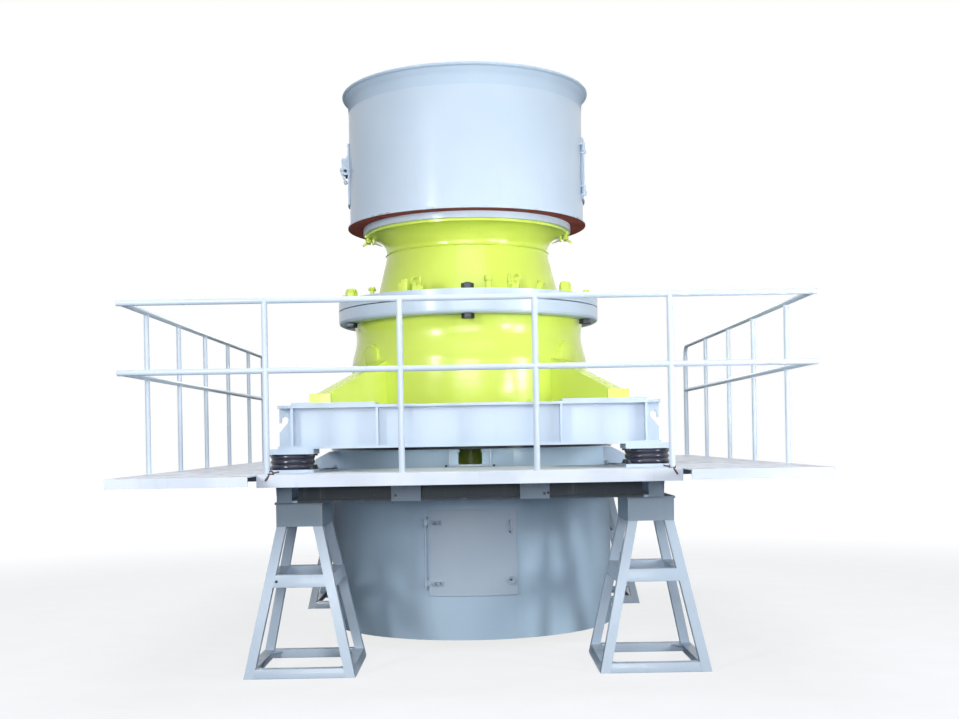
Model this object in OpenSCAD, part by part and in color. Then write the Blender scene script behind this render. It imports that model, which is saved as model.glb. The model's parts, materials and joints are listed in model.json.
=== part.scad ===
// Single-cylinder cone crusher with feed hopper, dust chute, stands and a railed access deck.
// Origin: ground level under the crusher's axis. +Z up, the hatch side of the chute faces -Y.

/* [Stands] */
// width of a stand's foot across the plant
stand_foot_w = 713; // [680:1:750]
// how far a stand's middle lies inside the middle of its support beam
stand_inset = 38.5; // [30:0.5:50]
// end face of a stand's foot, from the centre line
stand_end_y = 2030; // [1990:5:2040]
// how far the two front stands are set over to the right
stand_shift = 28; // [0:1:40]
// depth of a stand's foot along the plant
stand_foot_depth = 820; // [780:5:860]
// width of the box on top of a stand
stand_box_w = 298; // [280:2:310]
// depth of the box on top of a stand
stand_box_depth = 565; // [540:5:600]
// height of the box on top of a stand
stand_box_h = 143; // [120:1:160]
// side of a leg's square section
leg_w = 62; // [55:1:68]
// height of the upper rails between the legs
brace_z = 572; // [520:4:620]
// height of a rail's section
brace_h = 82; // [60:1:90]
// thickness of the rails
brace_t = 40; // [30:1:42]

/* [Support frame] */
// height of the support beams
support_h = 186; // [170:2:200]
// width of the support beams
support_w = 130; // [120:2:140]
// flange thickness of the support beams
support_flange_t = 14; // [10:1:18]
// web thickness of the support beams
support_web_t = 10; // [8:1:14]

/* [Deck] */
// top of the deck above the ground
deck_z = 1310; // [1250:5:1400]
// width of the side walkways
wing_w = 838; // [780:2:900]
// front edge and left rear end of the side walkways
wing_end_y = 2670; // [2600:5:2740]
// rear end of the right walkway
right_end_y = 2240; // [2200:5:2300]
// front edge of the front walkway
walk_front_y = 2373; // [2320:1:2400]
// rear edge of the front walkway
walk_rear_y = 1160; // [1140:5:1200]
// thickness of the deck plate
deck_t = 6; // [5:1:8]
// depth of the front walkway's edge
walk_edge_h = 77; // [60:1:90]
// depth of the side walkways' edge
wing_edge_h = 60; // [50:1:70]
// thickness of the deck's edges
edge_t = 8; // [6:1:10]

/* [Railing] */
// diameter of the railing tubes
tube_d = 42; // [36:1:48]
// centre of the top rail above the deck
top_rail_h = 1065; // [1000:5:1100]
// centre of the middle rail above the deck
mid_rail_h = 637; // [560:1:660]
// side rails, from the outer edge of the walkway to their centre line
rail_inset = 30; // [28:1:60]
// outer posts of the front railing, from the centre line
front_post_out = 1238; // [1200:1:1260]
// inner posts of the front railing, from the centre line
front_post_in = 413; // [380:1:440]
// radius of the bend at the right rail's rear end
rail_bend_r = 100; // [80:1:130]

/* [Isolators] */
// isolators' centres along the plant
iso_y = 1795; // [1780:1:1810]
// diameter of a rubber isolator
iso_d = 290; // [270:2:300]
// height of a rubber isolator
iso_h = 100; // [90:1:110]
// side of the isolators' plates
iso_plate_w = 310; // [302:2:320]

/* [Base frame] */
// front and rear faces of the base frame
frame_y = 1920; // [1900:5:1950]
// height of the base frame's beams
frame_h = 282; // [260:2:300]
// width of the base frame's beams
frame_w = 170; // [150:2:180]
// flange thickness of the base frame's beams
frame_flange_t = 18; // [14:1:24]
// web thickness of the base frame's beams
frame_web_t = 14; // [10:1:18]

/* [Crusher] */
// how far the bolted main flange stands out from the lower shell's neck
flange_rim = 126; // [115:1:140]
// thickness of the lower flange ring
lower_ring_t = 103; // [90:1:115]
// thickness of the upper flange ring
upper_ring_t = 66; // [60:1:75]
// open gap between the rims of the two flange rings
ring_gap = 8; // [6:1:12]
// height of the lower shell above the base frame's pads
shell_h = 656; // [640:2:670]
// wall of the lower shell at its neck
neck_wall = 105; // [95:1:112]
// outer radius of the lower shell under its flange
neck_r = 905; // [895:1:915]
// height of the upper shell above its flange
topshell_h = 545; // [530:1:560]
// how far the upper shell's waist lies inside its foot
waist_step = 92; // [76:1:96]
// how far the upper shell's foot lies inside the lower shell's bore
topshell_step = 64; // [56:1:72]
// number of big bolts in the main flange
flange_bolts_n = 16; // [12:4:24]
// closed-side gap between mantle and concave
crush_gap = 42; // [30:1:55]

/* [Hopper] */
// outer radius of the hopper drum
drum_r = 929; // [915:1:940]
// height of the drum's cylindrical wall
drum_h = 892; // [860:2:920]
// thickness of the drum's wall
drum_t = 8; // [6:1:10]
// height of the flared lip
lip_h = 150; // [130:1:170]
// how far the hopper's lip flares out past the drum
lip_out = 47; // [40:1:56]
// how far the hopper's floor ring stands out past the drum
floor_rim = 18; // [16:1:26]
// thickness of the hopper's floor ring
floor_t = 12; // [10:1:16]
// how far the hopper's seat stands out past the upper shell's waist
seat_step = 183; // [171:1:196]

/* [Hopper doors] */
// bottom of the doors above the drum's lower edge
door_z = 175; // [150:5:200]
// height of the doors
door_h = 483; // [450:1:500]
// angle a door spans around the drum
door_span = 34; // [30:0.5:36]
// how far a door's front edge lies ahead of the side
door_lead = 9; // [6:0.5:11]
// how much further forward the right door lies than the left one
door_turn = 6; // [0:0.5:8]
// thickness of the door plates
door_t = 9; // [7:1:10]

/* [Chute] */
// how far the dust chute stands out from the lower shell's neck
chute_out = 195; // [185:1:199]
// thickness of the chute's wall
chute_t = 8; // [6:1:10]
// lower edge of the chute above the ground
chute_z = 73; // [60:1:120]
// bottom of the hatch above the ground
hatch_z = 390; // [360:5:420]
// height of the hatch
hatch_h = 615; // [580:5:640]
// half angle of the hatch around the chute
hatch_half = 17.2; // [15:0.1:19]

/* [Hidden] */
$fn = 96;
paint_blue = [0.72, 0.78, 0.86];
paint_green = [0.62, 0.80, 0.16];
paint_red = [0.42, 0.19, 0.18];
rubber_black = [0.06, 0.07, 0.10];
steel_dark = [0.22, 0.22, 0.24];
steel_bare = [0.50, 0.50, 0.52];
// small gap where a curved piece meets its seat
seat_gap = 0.3;
// running clearance of a hinge knuckle on its pin
pin_gap = 0.5;
// side clearance of a hinge knuckle between its lugs
knuckle_gap = 2;
// overshoot of cutting solids
over = 5;

front_post_xs = [-front_post_out, -front_post_in, front_post_in, front_post_out];
stand_y = stand_end_y - stand_foot_depth / 2;
cap_t = 15;
cap_over = 8;
support_z0 = deck_z - deck_t - support_h;
support_z1 = deck_z - deck_t;
stand_box_z = support_z0 - cap_t - stand_box_h;
chute_r = neck_r + chute_out;
support_gap = 12;
support_x = chute_r + support_gap;
support_out_x = support_x + support_w;
stand_x = support_x + support_w / 2 - stand_inset;
support_y1 = stand_end_y - 60;
wing_gap = 58;
wing_in_x = support_out_x + wing_gap;
wing_out_x = wing_in_x + wing_w;
side_rail_x = wing_out_x - rail_inset;
iso_base_t = 19;
iso_top_t = 33;
frame_z0 = deck_z + iso_base_t + iso_h + iso_top_t;
frame_z1 = frame_z0 + frame_h;
shell_flare = 30;
iso_lead = 48;
iso_x = support_x + iso_lead;
frame_x = iso_x - 5;
bore_r = neck_r - neck_wall;
topshell_foot_r = bore_r - topshell_step;
waist_r = topshell_foot_r - waist_step;
seat_r = waist_r + seat_step;
flange_r = neck_r + flange_rim;
lip_r = drum_r + lip_out;
floor_r = drum_r + floor_rim;
pad_t = 17;
pad_z = frame_z1 + pad_t;
foot_t = 86;
lower_ring_z = pad_z + shell_h;
land_z = lower_ring_z + lower_ring_t + ring_gap;
flange_top_z = land_z + upper_ring_t;
seat_z = flange_top_z + topshell_h;
seat_t = 48;
floor_z = seat_z + seat_t;
drum_z = floor_z + floor_t;
lip_z = drum_z + drum_h;
throat_wall = 36;
throat_r = waist_r - throat_wall;
concave_t = 45;
chute_top_z = frame_z0 - 25;
hinge_off = 26;
knuckle_r = 14;
pin_r = 7;
knuckle_h = 50;
lug_h = 14;
lug_half_w = 12;
plate_edge_off = 22;
door_overlap = 18;
door_seat = 2;
housing_r = 150;
housing_rise = 189;
housing_z = pad_z + housing_rise;
pulley_y = 1985;
pulley_w = 210;
pulley_r = 380;
pulley_clear = 90;

// which piece to draw

// mirror a child to all four corners of the plant
module corners() {
    for (sx = [-1, 1])
        for (sy = [-1, 1])
            scale_sign(sx, sy) children();
}

// the same for the stands: the front pair is set over
module stand_corners() {
    for (sx = [-1, 1])
        for (sy = [-1, 1])
            translate([sy < 0 ? stand_shift : 0, 0, 0])
                scale_sign(sx, sy) children();
}

module scale_sign(sx, sy) {
    mirror([sx < 0 ? 1 : 0, 0, 0])
        mirror([0, sy < 0 ? 1 : 0, 0])
            children();
}

// a bar between two levels whose square section stays level: a and b are section centres
module leaning_bar(a, b, w) {
    h = w / 2;
    polyhedron(
        points = [
            [a[0] - h, a[1] - h, a[2]], [a[0] + h, a[1] - h, a[2]],
            [a[0] + h, a[1] + h, a[2]], [a[0] - h, a[1] + h, a[2]],
            [b[0] - h, b[1] - h, b[2]], [b[0] + h, b[1] - h, b[2]],
            [b[0] + h, b[1] + h, b[2]], [b[0] - h, b[1] + h, b[2]]
        ],
        faces = [[0, 1, 2, 3], [7, 6, 5, 4], [0, 4, 5, 1], [1, 5, 6, 2], [2, 6, 7, 3], [3, 7, 4, 0]]
    );
}

module block(x0, x1, y0, y1, z0, z1) {
    translate([x0, y0, z0])
        cube([x1 - x0, y1 - y0, z1 - z0]);
}

// I-section, centred, standing in the XY plane with its depth along Y
module i_section(w, h, tf, tw) {
    polygon([
        [-w / 2, 0], [w / 2, 0], [w / 2, tf], [tw / 2, tf], [tw / 2, h - tf], [w / 2, h - tf],
        [w / 2, h], [-w / 2, h], [-w / 2, h - tf], [-tw / 2, h - tf], [-tw / 2, tf], [-w / 2, tf]
    ]);
}

// I-beam along Y from y0 to y1, centred on x, standing on z
module beam_y(x, y0, y1, z, w, h, tf, tw) {
    translate([x, y1, z])
        rotate([90, 0, 0])
            linear_extrude(y1 - y0)
                i_section(w, h, tf, tw);
}

// I-beam along X from x0 to x1, centred on y, standing on z
module beam_x(x0, x1, y, z, w, h, tf, tw) {
    translate([x0, y, z])
        rotate([90, 0, 90])
            linear_extrude(x1 - x0)
                i_section(w, h, tf, tw);
}

// part of a round wall: from angle a0 to a1, counted from +X towards +Y
module wall_arc(r_out, t, a0, a1, z0, z1) {
    translate([0, 0, z0])
        rotate([0, 0, a0])
            rotate_extrude(angle = a1 - a0)
                translate([r_out - t, 0])
                    square([t, z1 - z0]);
}

module ring(r_in, r_out, z0, z1) {
    difference() {
        translate([0, 0, z0])
            cylinder(r = r_out, h = z1 - z0);
        translate([0, 0, z0 - over])
            cylinder(r = r_in, h = z1 - z0 + 2 * over);
    }
}

// ---- stands ----
leg_foot_x = (stand_foot_w - leg_w) / 2;
leg_foot_y = (stand_foot_depth - leg_w) / 2;
leg_head_x = (stand_box_w - leg_w) / 2;
leg_head_y = (stand_box_depth - leg_w) / 2;

// half distance between leg centres at a height
function leg_x(z) = leg_foot_x + (leg_head_x - leg_foot_x) * z / stand_box_z;
function leg_y(z) = leg_foot_y + (leg_head_y - leg_foot_y) * z / stand_box_z;

module stand_legs() {
    color(paint_blue)
        stand_corners()
            translate([stand_x, stand_y, 0])
                for (sx = [-1, 1])
                    for (sy = [-1, 1])
                        leaning_bar([sx * leg_foot_x, sy * leg_foot_y, 0],
                                    [sx * leg_head_x, sy * leg_head_y, stand_box_z], leg_w);
}

// level rails that join the four legs of a stand between z and z + h, cut to the leaning legs
module rail_frame(z, h, t) {
    stand_corners()
        translate([stand_x, stand_y, 0])
            difference() {
                union() {
                    for (s = [-1, 1]) {
                        translate([-leg_x(z), s * leg_y(z + h / 2) - t / 2, z])
                            cube([2 * leg_x(z), t, h]);
                        translate([s * leg_x(z + h / 2) - t / 2, -leg_y(z), z])
                            cube([t, 2 * leg_y(z), h]);
                    }
                }
                for (sx = [-1, 1])
                    for (sy = [-1, 1])
                        leaning_bar([sx * leg_foot_x, sy * leg_foot_y, -0.001],
                                    [sx * leg_head_x, sy * leg_head_y, stand_box_z], leg_w);
            }
}

module stand_rails() {
    color(paint_blue) {
        rail_frame(brace_z, brace_h, brace_t);
        rail_frame(0, leg_w, brace_t);
    }
}

module stand_top_boxes() {
    color(paint_blue)
        stand_corners()
            translate([stand_x, stand_y, stand_box_z]) {
                translate([-stand_box_w / 2, -stand_box_depth / 2, 0])
                    cube([stand_box_w, stand_box_depth, stand_box_h]);
                translate([-stand_box_w / 2 - cap_over, -stand_box_depth / 2 - cap_over, stand_box_h])
                    cube([stand_box_w + 2 * cap_over, stand_box_depth + 2 * cap_over, cap_t]);
            }
}

// ---- support frame ----
support_mid_x = support_x + support_w / 2;

module support_side_beams() {
    color(paint_blue)
        for (s = [-1, 1])
            beam_y(s * support_mid_x, -support_y1, support_y1, support_z0,
                   support_w, support_h, support_flange_t, support_web_t);
}

module support_cross_beams() {
    color(paint_blue)
        for (s = [-1, 1])
            beam_x(-support_x, support_x, s * (support_y1 - support_w / 2), support_z0,
                   support_w, support_h, support_flange_t, support_web_t);
}

// cantilever bracket: a tapered plate under the deck, root at the origin, reaching along +X
module bracket_plate(reach, h_root, h_tip, t) {
    translate([0, t / 2, 0])
        rotate([90, 0, 0])
            linear_extrude(t)
                polygon([[0, 0], [reach, 0], [reach, -h_tip], [h_root - h_tip, -h_tip], [0, -h_root]]);
}

bracket_t = 10;
bracket_tip_h = 50;
bracket_drop = 50;
back_plate_w = 190;
bracket_ys = [-1800, -700, 700, 1800];

module deck_brackets() {
    color(paint_blue) {
        for (s = [-1, 1])
            for (y = bracket_ys)
                scale_sign(s, 1)
                    translate([support_out_x, y, support_z1])
                        bracket_plate(wing_out_x - edge_t - seat_gap - support_out_x, support_h - bracket_drop,
                                      bracket_tip_h, bracket_t);
        for (x = front_post_xs) {
            translate([x, -support_y1 - bracket_t, support_z1])
                rotate([0, 0, -90])
                    bracket_plate(walk_front_y - edge_t - seat_gap - support_y1 - bracket_t, support_h - bracket_drop,
                                  bracket_tip_h, bracket_t);
            translate([x - back_plate_w / 2, -support_y1 - bracket_t, support_z0])
                cube([back_plate_w, bracket_t, support_h]);
        }
    }
}

// ---- deck ----
module deck_front_walkway() {
    color(paint_blue) {
        block(-wing_in_x, wing_in_x, -walk_front_y, -walk_rear_y, support_z1, deck_z);
        block(-wing_in_x, wing_in_x, -walk_front_y, -walk_front_y + edge_t, deck_z - walk_edge_h, deck_z);
    }
}

// side walkway with a rim all round: x runs outward, y from y0 to y1
module side_walkway(y0, y1) {
    difference() {
        block(wing_in_x, wing_out_x, y0, y1, deck_z - wing_edge_h, deck_z);
        block(wing_in_x - over, wing_out_x - edge_t, y0 + edge_t, y1 - edge_t,
              deck_z - wing_edge_h - over, support_z1);
    }
}

module deck_left_walkway() {
    color(paint_blue)
        scale_sign(-1, 1)
            side_walkway(-wing_end_y, wing_end_y);
}

module deck_right_walkway() {
    color(paint_blue)
        side_walkway(-wing_end_y, right_end_y);
}

// ---- railing ----
tube_r = tube_d / 2;
front_rail_y = -walk_front_y + tube_r + 2;
top_rail_z = deck_z + top_rail_h;
mid_rail_z = deck_z + mid_rail_h;
front_rail_reach = side_rail_x + tube_r + 14;
left_rail_y1 = wing_end_y - tube_r - 8;
right_rail_y1 = right_end_y - tube_r - 20;
left_post_ys = [-1770, -890, -10, 890, 1860, left_rail_y1];
right_post_ys = [-1700, -730, 160, 1150, right_rail_y1];
rail_bore_r = tube_r - 4;
rail_bore_depth = 60;

module tube_x(x0, x1, y, z, r) {
    translate([x0, y, z])
        rotate([0, 90, 0])
            cylinder(r = r, h = x1 - x0);
}

module tube_y(x, y0, y1, z, r) {
    translate([x, y0, z])
        rotate([-90, 0, 0])
            cylinder(r = r, h = y1 - y0);
}

module tube_z(x, y, z0, z1, r) {
    translate([x, y, z0])
        cylinder(r = r, h = z1 - z0);
}

// a front rail with open tube ends
module front_rail(z) {
    difference() {
        tube_x(-front_rail_reach, front_rail_reach, front_rail_y, z, tube_r);
        tube_x(-front_rail_reach - over, -front_rail_reach + rail_bore_depth, front_rail_y, z, rail_bore_r);
        tube_x(front_rail_reach - rail_bore_depth, front_rail_reach + over, front_rail_y, z, rail_bore_r);
    }
}

// the right top rail ends in a bend down to its last post
module right_top_rail() {
    difference() {
        union() {
            tube_y(side_rail_x, front_rail_y, right_rail_y1 - rail_bend_r, top_rail_z, tube_r);
            translate([side_rail_x, right_rail_y1 - rail_bend_r, top_rail_z - rail_bend_r])
                rotate([90, 0, 90])
                    rotate_extrude(angle = 90)
                        translate([rail_bend_r, 0])
                            circle(r = tube_r);
        }
        tube_x(0, front_rail_reach + over, front_rail_y, top_rail_z, tube_r + seat_gap);
    }
}

module top_rails() {
    color(paint_blue) {
        front_rail(top_rail_z);
        right_top_rail();
        difference() {
            tube_y(-side_rail_x, front_rail_y, wing_end_y - 8, top_rail_z, tube_r);
            tube_x(-front_rail_reach - over, 0, front_rail_y, top_rail_z, tube_r + seat_gap);
        }
    }
}

module mid_rails() {
    color(paint_blue) {
        difference() {
            front_rail(mid_rail_z);
            for (x = front_post_xs)
                tube_z(x, front_rail_y, deck_z, top_rail_z, tube_r + seat_gap);
        }
        difference() {
            tube_y(-side_rail_x, front_rail_y, left_rail_y1, mid_rail_z, tube_r);
            tube_x(-front_rail_reach - over, 0, front_rail_y, mid_rail_z, tube_r + seat_gap);
            for (y = left_post_ys)
                tube_z(-side_rail_x, y, deck_z, top_rail_z, tube_r + seat_gap);
        }
        difference() {
            tube_y(side_rail_x, front_rail_y, right_rail_y1, mid_rail_z, tube_r);
            tube_x(0, front_rail_reach + over, front_rail_y, mid_rail_z, tube_r + seat_gap);
            for (y = right_post_ys)
                tube_z(side_rail_x, y, deck_z, top_rail_z, tube_r + seat_gap);
        }
    }
}

module railing_posts() {
    color(paint_blue) {
        for (x = front_post_xs)
            difference() {
                tube_z(x, front_rail_y, deck_z, top_rail_z, tube_r);
                tube_x(x - 2 * tube_d, x + 2 * tube_d, front_rail_y, top_rail_z, tube_r + seat_gap);
            }
        for (y = left_post_ys)
            difference() {
                tube_z(-side_rail_x, y, deck_z, top_rail_z, tube_r);
                tube_y(-side_rail_x, y - 2 * tube_d, y + 2 * tube_d, top_rail_z, tube_r + seat_gap);
            }
        for (i = [0 : len(right_post_ys) - 2])
            difference() {
                tube_z(side_rail_x, right_post_ys[i], deck_z, top_rail_z, tube_r);
                tube_y(side_rail_x, right_post_ys[i] - 2 * tube_d, right_post_ys[i] + 2 * tube_d,
                       top_rail_z, tube_r + seat_gap);
            }
        tube_z(side_rail_x, right_rail_y1, deck_z, top_rail_z - rail_bend_r, tube_r);
    }
}

// ---- base frame on its isolators ----
module isolator_plates() {
    color(paint_blue)
        corners() {
            translate([iso_x - iso_plate_w / 2, iso_y - iso_plate_w / 2, deck_z])
                cube([iso_plate_w, iso_plate_w, iso_base_t]);
            translate([iso_x - iso_plate_w / 2, iso_y - iso_plate_w / 2, frame_z0 - iso_top_t])
                cube([iso_plate_w, iso_plate_w, iso_top_t]);
        }
}

iso_groove = 8;
iso_band = iso_h / 3;
iso_step = iso_band / 6;

module isolator_rubbers() {
    color(rubber_black)
        corners()
            translate([iso_x, iso_y, deck_z + iso_base_t])
                rotate_extrude()
                    polygon(concat(
                        [[0, 0]],
                        [for (b = [0 : 2])
                            for (i = [0 : 6])
                                [iso_d / 2 - iso_groove * (1 - sin(i * 30)), b * iso_band + i * iso_step
                                 + (i == 0 && b > 0 ? 0.01 : 0)]],
                        [[0, iso_h]]
                    ));
}

stiffener_x = frame_x - 550;
stiffener_t = 16;
stiffener_w = frame_w / 2 - 6;
pad_inset = 5;
hook_end_x = frame_x + 82;
frame_side_x = frame_x - frame_w / 2;
frame_end_y = frame_y - frame_w / 2;

module frame_end_beams() {
    color(paint_blue)
        for (s = [-1, 1]) {
            beam_x(-frame_x, frame_x, s * frame_end_y, frame_z0, frame_w, frame_h, frame_flange_t, frame_web_t);
            for (z = [frame_z0, frame_z1 - frame_flange_t])
                block(-hook_end_x, hook_end_x, s * frame_end_y - frame_w / 2, s * frame_end_y + frame_w / 2,
                      z, z + frame_flange_t);
            for (x = [-frame_x, -stiffener_x, stiffener_x - stiffener_t, frame_x - stiffener_t])
                block(x, x + stiffener_t, s * frame_end_y - stiffener_w, s * frame_end_y + stiffener_w,
                      frame_z0, frame_z1);
        }
}

module frame_side_beams() {
    color(paint_blue)
        for (s = [-1, 1])
            beam_y(s * frame_side_x, -frame_y + frame_w, frame_y - frame_w, frame_z0,
                   frame_w, frame_h, frame_flange_t, frame_web_t);
}

pad_y0 = 900;

module frame_pads() {
    color(paint_blue)
        corners()
            block(stiffener_x, frame_x - pad_inset, pad_y0, frame_y - pad_inset, frame_z1, pad_z);
}

hook_t = 20;
hook_reach = hook_end_x - frame_x;
hook_r = 23;
hook_x = 46;
hook_z = 171;
hook_lip_z = hook_z - 19;
hook_mouth_z = hook_z - 87;

// end plates of the front and rear beams, each with a hook-shaped notch for a sling
module lifting_hooks() {
    color(paint_blue)
        corners()
            translate([frame_x, frame_end_y + hook_t / 2, frame_z0 + frame_flange_t])
                rotate([90, 0, 0])
                    linear_extrude(hook_t)
                        difference() {
                            square([hook_reach, frame_h - 2 * frame_flange_t]);
                            translate([hook_x, hook_z])
                                circle(r = hook_r);
                            polygon([
                                [hook_x - hook_r, hook_z], [hook_x + hook_r, hook_z], [hook_x + hook_r, hook_lip_z],
                                [hook_reach + over, hook_lip_z], [hook_reach + over, hook_mouth_z],
                                [hook_x - hook_r * 0.8, hook_lip_z]
                            ]);
                        }
}

// ---- crusher ----
boss_r = 105;
boss_z = lower_ring_z - 285;
boss_angle = 53;
boss_proud = 30;
arm_half_w = 66;
arm_top_z = pad_z + 340;
arm_foot_z = pad_z + foot_t;
foot_in = frame_x - frame_w;
foot_out = frame_x - 20;
arm_end_r = (foot_in + foot_out) / 2 * sqrt(2);
shell_z0 = frame_z0 + 40;

// outer line of the lower shell, from its lower edge up, let out by g
function shell_outline(g) = [
    [neck_r + shell_flare - 8 + g, shell_z0 - (g > 0 ? over : 0)],
    [neck_r + shell_flare + g, pad_z + 60], [neck_r + shell_flare + g, pad_z + 290],
    [neck_r + shell_flare * 0.72 + g, pad_z + 355], [neck_r + shell_flare * 0.1 + g, pad_z + 455],
    [neck_r - 13 + g, pad_z + 530], [neck_r - 13 + g, pad_z + 560], [neck_r - 8 + g, pad_z + 578],
    [neck_r + g, pad_z + 590], [neck_r + 4 + g, lower_ring_z]
];

// round bosses on the lower shell's two front quarters, let out by g
module shell_bosses(g) {
    for (s = [-1, 1])
        rotate([0, 0, -90 + s * boss_angle])
            translate([bore_r + boss_proud, 0, boss_z])
                rotate([0, 90, 0])
                    cylinder(r = boss_r + g, h = neck_r - bore_r + 100 * g);
}

module lower_shell() {
    color(paint_green)
        difference() {
            union() {
                rotate_extrude()
                    polygon(concat([[bore_r, shell_z0]], shell_outline(0), [[bore_r, lower_ring_z]]));
                shell_bosses(0);
            }
            translate([0, 0, shell_z0 - over])
                cylinder(r = bore_r, h = lower_ring_z - shell_z0 + 2 * over);
            translate([0, 0, housing_z])
                rotate([-90, 0, 0])
                    cylinder(r = housing_r + seat_gap, h = 2 * bore_r);
        }
}

// four sloping arms with square feet on the base frame
module shell_arms() {
    color(paint_green)
        difference() {
            union() {
                for (a = [45, 135, 225, 315])
                    rotate([0, 0, a])
                        translate([0, arm_half_w, 0])
                            rotate([90, 0, 0])
                                linear_extrude(2 * arm_half_w)
                                    polygon([
                                        [neck_r - 30, pad_z + over], [arm_end_r, pad_z + over],
                                        [arm_end_r, arm_foot_z], [neck_r + shell_flare, arm_top_z], [neck_r - 30, arm_top_z]
                                    ]);
                corners()
                    block(foot_in, foot_out, foot_in, foot_out, pad_z, pad_z + foot_t);
            }
            rotate_extrude()
                polygon(concat([[0, shell_z0 - over]], shell_outline(seat_gap), [[0, lower_ring_z]]));
            shell_bosses(seat_gap);
        }
}

ring_round = 22;
land_r = neck_r + 35;

module lower_flange_ring() {
    color(paint_blue)
        rotate_extrude()
            polygon([
                [bore_r, lower_ring_z], [flange_r - ring_round, lower_ring_z],
                [flange_r - ring_round * 0.3, lower_ring_z + ring_round * 0.3],
                [flange_r, lower_ring_z + ring_round], [flange_r, lower_ring_z + lower_ring_t],
                [land_r, lower_ring_z + lower_ring_t], [land_r, land_z], [bore_r, land_z]
            ]);
}

skirt_r = bore_r - 10;

module upper_flange_ring() {
    color(paint_blue)
        ring(topshell_foot_r + seat_gap, flange_r, land_z, flange_top_z);
}

bolt_circle_r = neck_r + 70;
bolt_r = 48;
bolt_head_h = 62;
stud_r = 24;
stud_h = 26;
nut_h = 38;

module flange_bolts() {
    color(paint_green)
        for (i = [0 : flange_bolts_n - 1])
            rotate([0, 0, i * 360 / flange_bolts_n]) {
                translate([bolt_circle_r, 0, flange_top_z]) {
                    cylinder(r = bolt_r, h = bolt_head_h, $fn = 6);
                    cylinder(r = stud_r, h = bolt_head_h + stud_h);
                }
                if (i % 4 == 0)
                    translate([bolt_circle_r, 0, lower_ring_z - nut_h])
                        cylinder(r = bolt_r, h = nut_h, $fn = 6);
            }
}

waist_z = flange_top_z + 385;
ledge = 8;
skirt_z = land_z - 245;
skirt_in_r = skirt_r - 45;

mouth_z = waist_z + 10;

module upper_shell() {
    color(paint_green)
        rotate_extrude()
            polygon([
                [skirt_in_r, skirt_z], [skirt_r, skirt_z], [skirt_r, land_z], [topshell_foot_r, land_z],
                [topshell_foot_r, flange_top_z],
                [waist_r + 2, waist_z - 2 * ledge], [waist_r + ledge, waist_z - 2 * ledge],
                [waist_r + ledge, waist_z - ledge / 2], [waist_r, waist_z], [waist_r, mouth_z], [throat_r, mouth_z]
            ]);
}

// flared mouth of the upper shell, up to the hopper's seat
module upper_shell_mouth() {
    color(paint_green)
        rotate_extrude()
            polygon(concat(
                [[throat_r, mouth_z + seat_gap], [waist_r + 1, mouth_z + seat_gap]],
                [for (i = [1 : 6])
                    [waist_r + (seat_r - 27 - waist_r) * (1 - cos(15 * i)),
                     waist_z + (seat_z - 20 - waist_z) * sin(15 * i)]],
                [[seat_r - 27, seat_z], [throat_r, seat_z]]
            ));
}

concave_z1 = seat_z - 150;
concave_z0 = skirt_z + 5;
function concave_out(z) = throat_r + (skirt_in_r - throat_r) * (concave_z1 - z) / (concave_z1 - skirt_z);

module concave_liner() {
    color(steel_bare)
        rotate_extrude()
            polygon([
                [concave_out(concave_z0) - seat_gap - concave_t, concave_z0],
                [concave_out(concave_z0) - seat_gap, concave_z0],
                [concave_out(concave_z1) - seat_gap, concave_z1],
                [concave_out(concave_z1) - seat_gap - concave_t, concave_z1]
            ]);
}

mantle_foot_r = concave_out(concave_z0) - concave_t - crush_gap;
mantle_top_z = concave_z1 - 20;
shaft_r = 115;
shaft_top_z = seat_z - 90;
hub_r = 300;
hub_top_z = pad_z + 470;
hub_z0 = frame_z0 + 50;

module mantle() {
    color(steel_bare)
        rotate_extrude()
            polygon([
                [0, hub_top_z], [shaft_r + 60, hub_top_z], [shaft_r + 90, concave_z0 - 30],
                [mantle_foot_r, concave_z0 - 30], [mantle_foot_r, concave_z0 + 20],
                [mantle_foot_r * 0.72, concave_z0 + 260], [mantle_foot_r * 0.46, mantle_top_z - 120],
                [mantle_foot_r * 0.36, mantle_top_z], [mantle_foot_r * 0.26, mantle_top_z],
                [mantle_foot_r * 0.26, mantle_top_z + 50], [shaft_r, mantle_top_z + 50],
                [shaft_r, shaft_top_z], [0, shaft_top_z]
            ]);
}

spider_hub_r = 190;
spider_arm_w = 190;
cap_top_z = drum_z + 130;

module spider() {
    color(paint_green) {
        rotate_extrude()
            polygon([
                [0, shaft_top_z], [spider_hub_r - 30, shaft_top_z], [spider_hub_r, shaft_top_z + 30],
                [spider_hub_r, cap_top_z - 70], [spider_hub_r - 40, cap_top_z - 20],
                [spider_hub_r - 90, cap_top_z], [0, cap_top_z]
            ]);
        intersection() {
            block(-throat_r, throat_r, -spider_arm_w / 2, spider_arm_w / 2, shaft_top_z + 30, seat_z - 5);
            translate([0, 0, shaft_top_z])
                cylinder(r = throat_r - seat_gap, h = seat_z - shaft_top_z);
        }
    }
}

rib_t = 70;

module bottom_hub() {
    color(steel_dark)
        difference() {
            union() {
                translate([0, 0, hub_z0])
                    cylinder(r = hub_r, h = hub_top_z - hub_z0);
                intersection() {
                    for (a = [30, 150, 270])
                        rotate([0, 0, a])
                            block(0, bore_r, -rib_t / 2, rib_t / 2, hub_z0 + 60, hub_z0 + 420);
                    translate([0, 0, hub_z0])
                        cylinder(r = bore_r - seat_gap, h = hub_top_z - hub_z0);
                }
            }
            translate([0, 0, housing_z])
                rotate([-90, 0, 0])
                    cylinder(r = housing_r + seat_gap, h = bore_r);
        }
}

cylinder_drop = 270;
cylinder_z0 = deck_z - cylinder_drop;
cylinder_r = 215;

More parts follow.
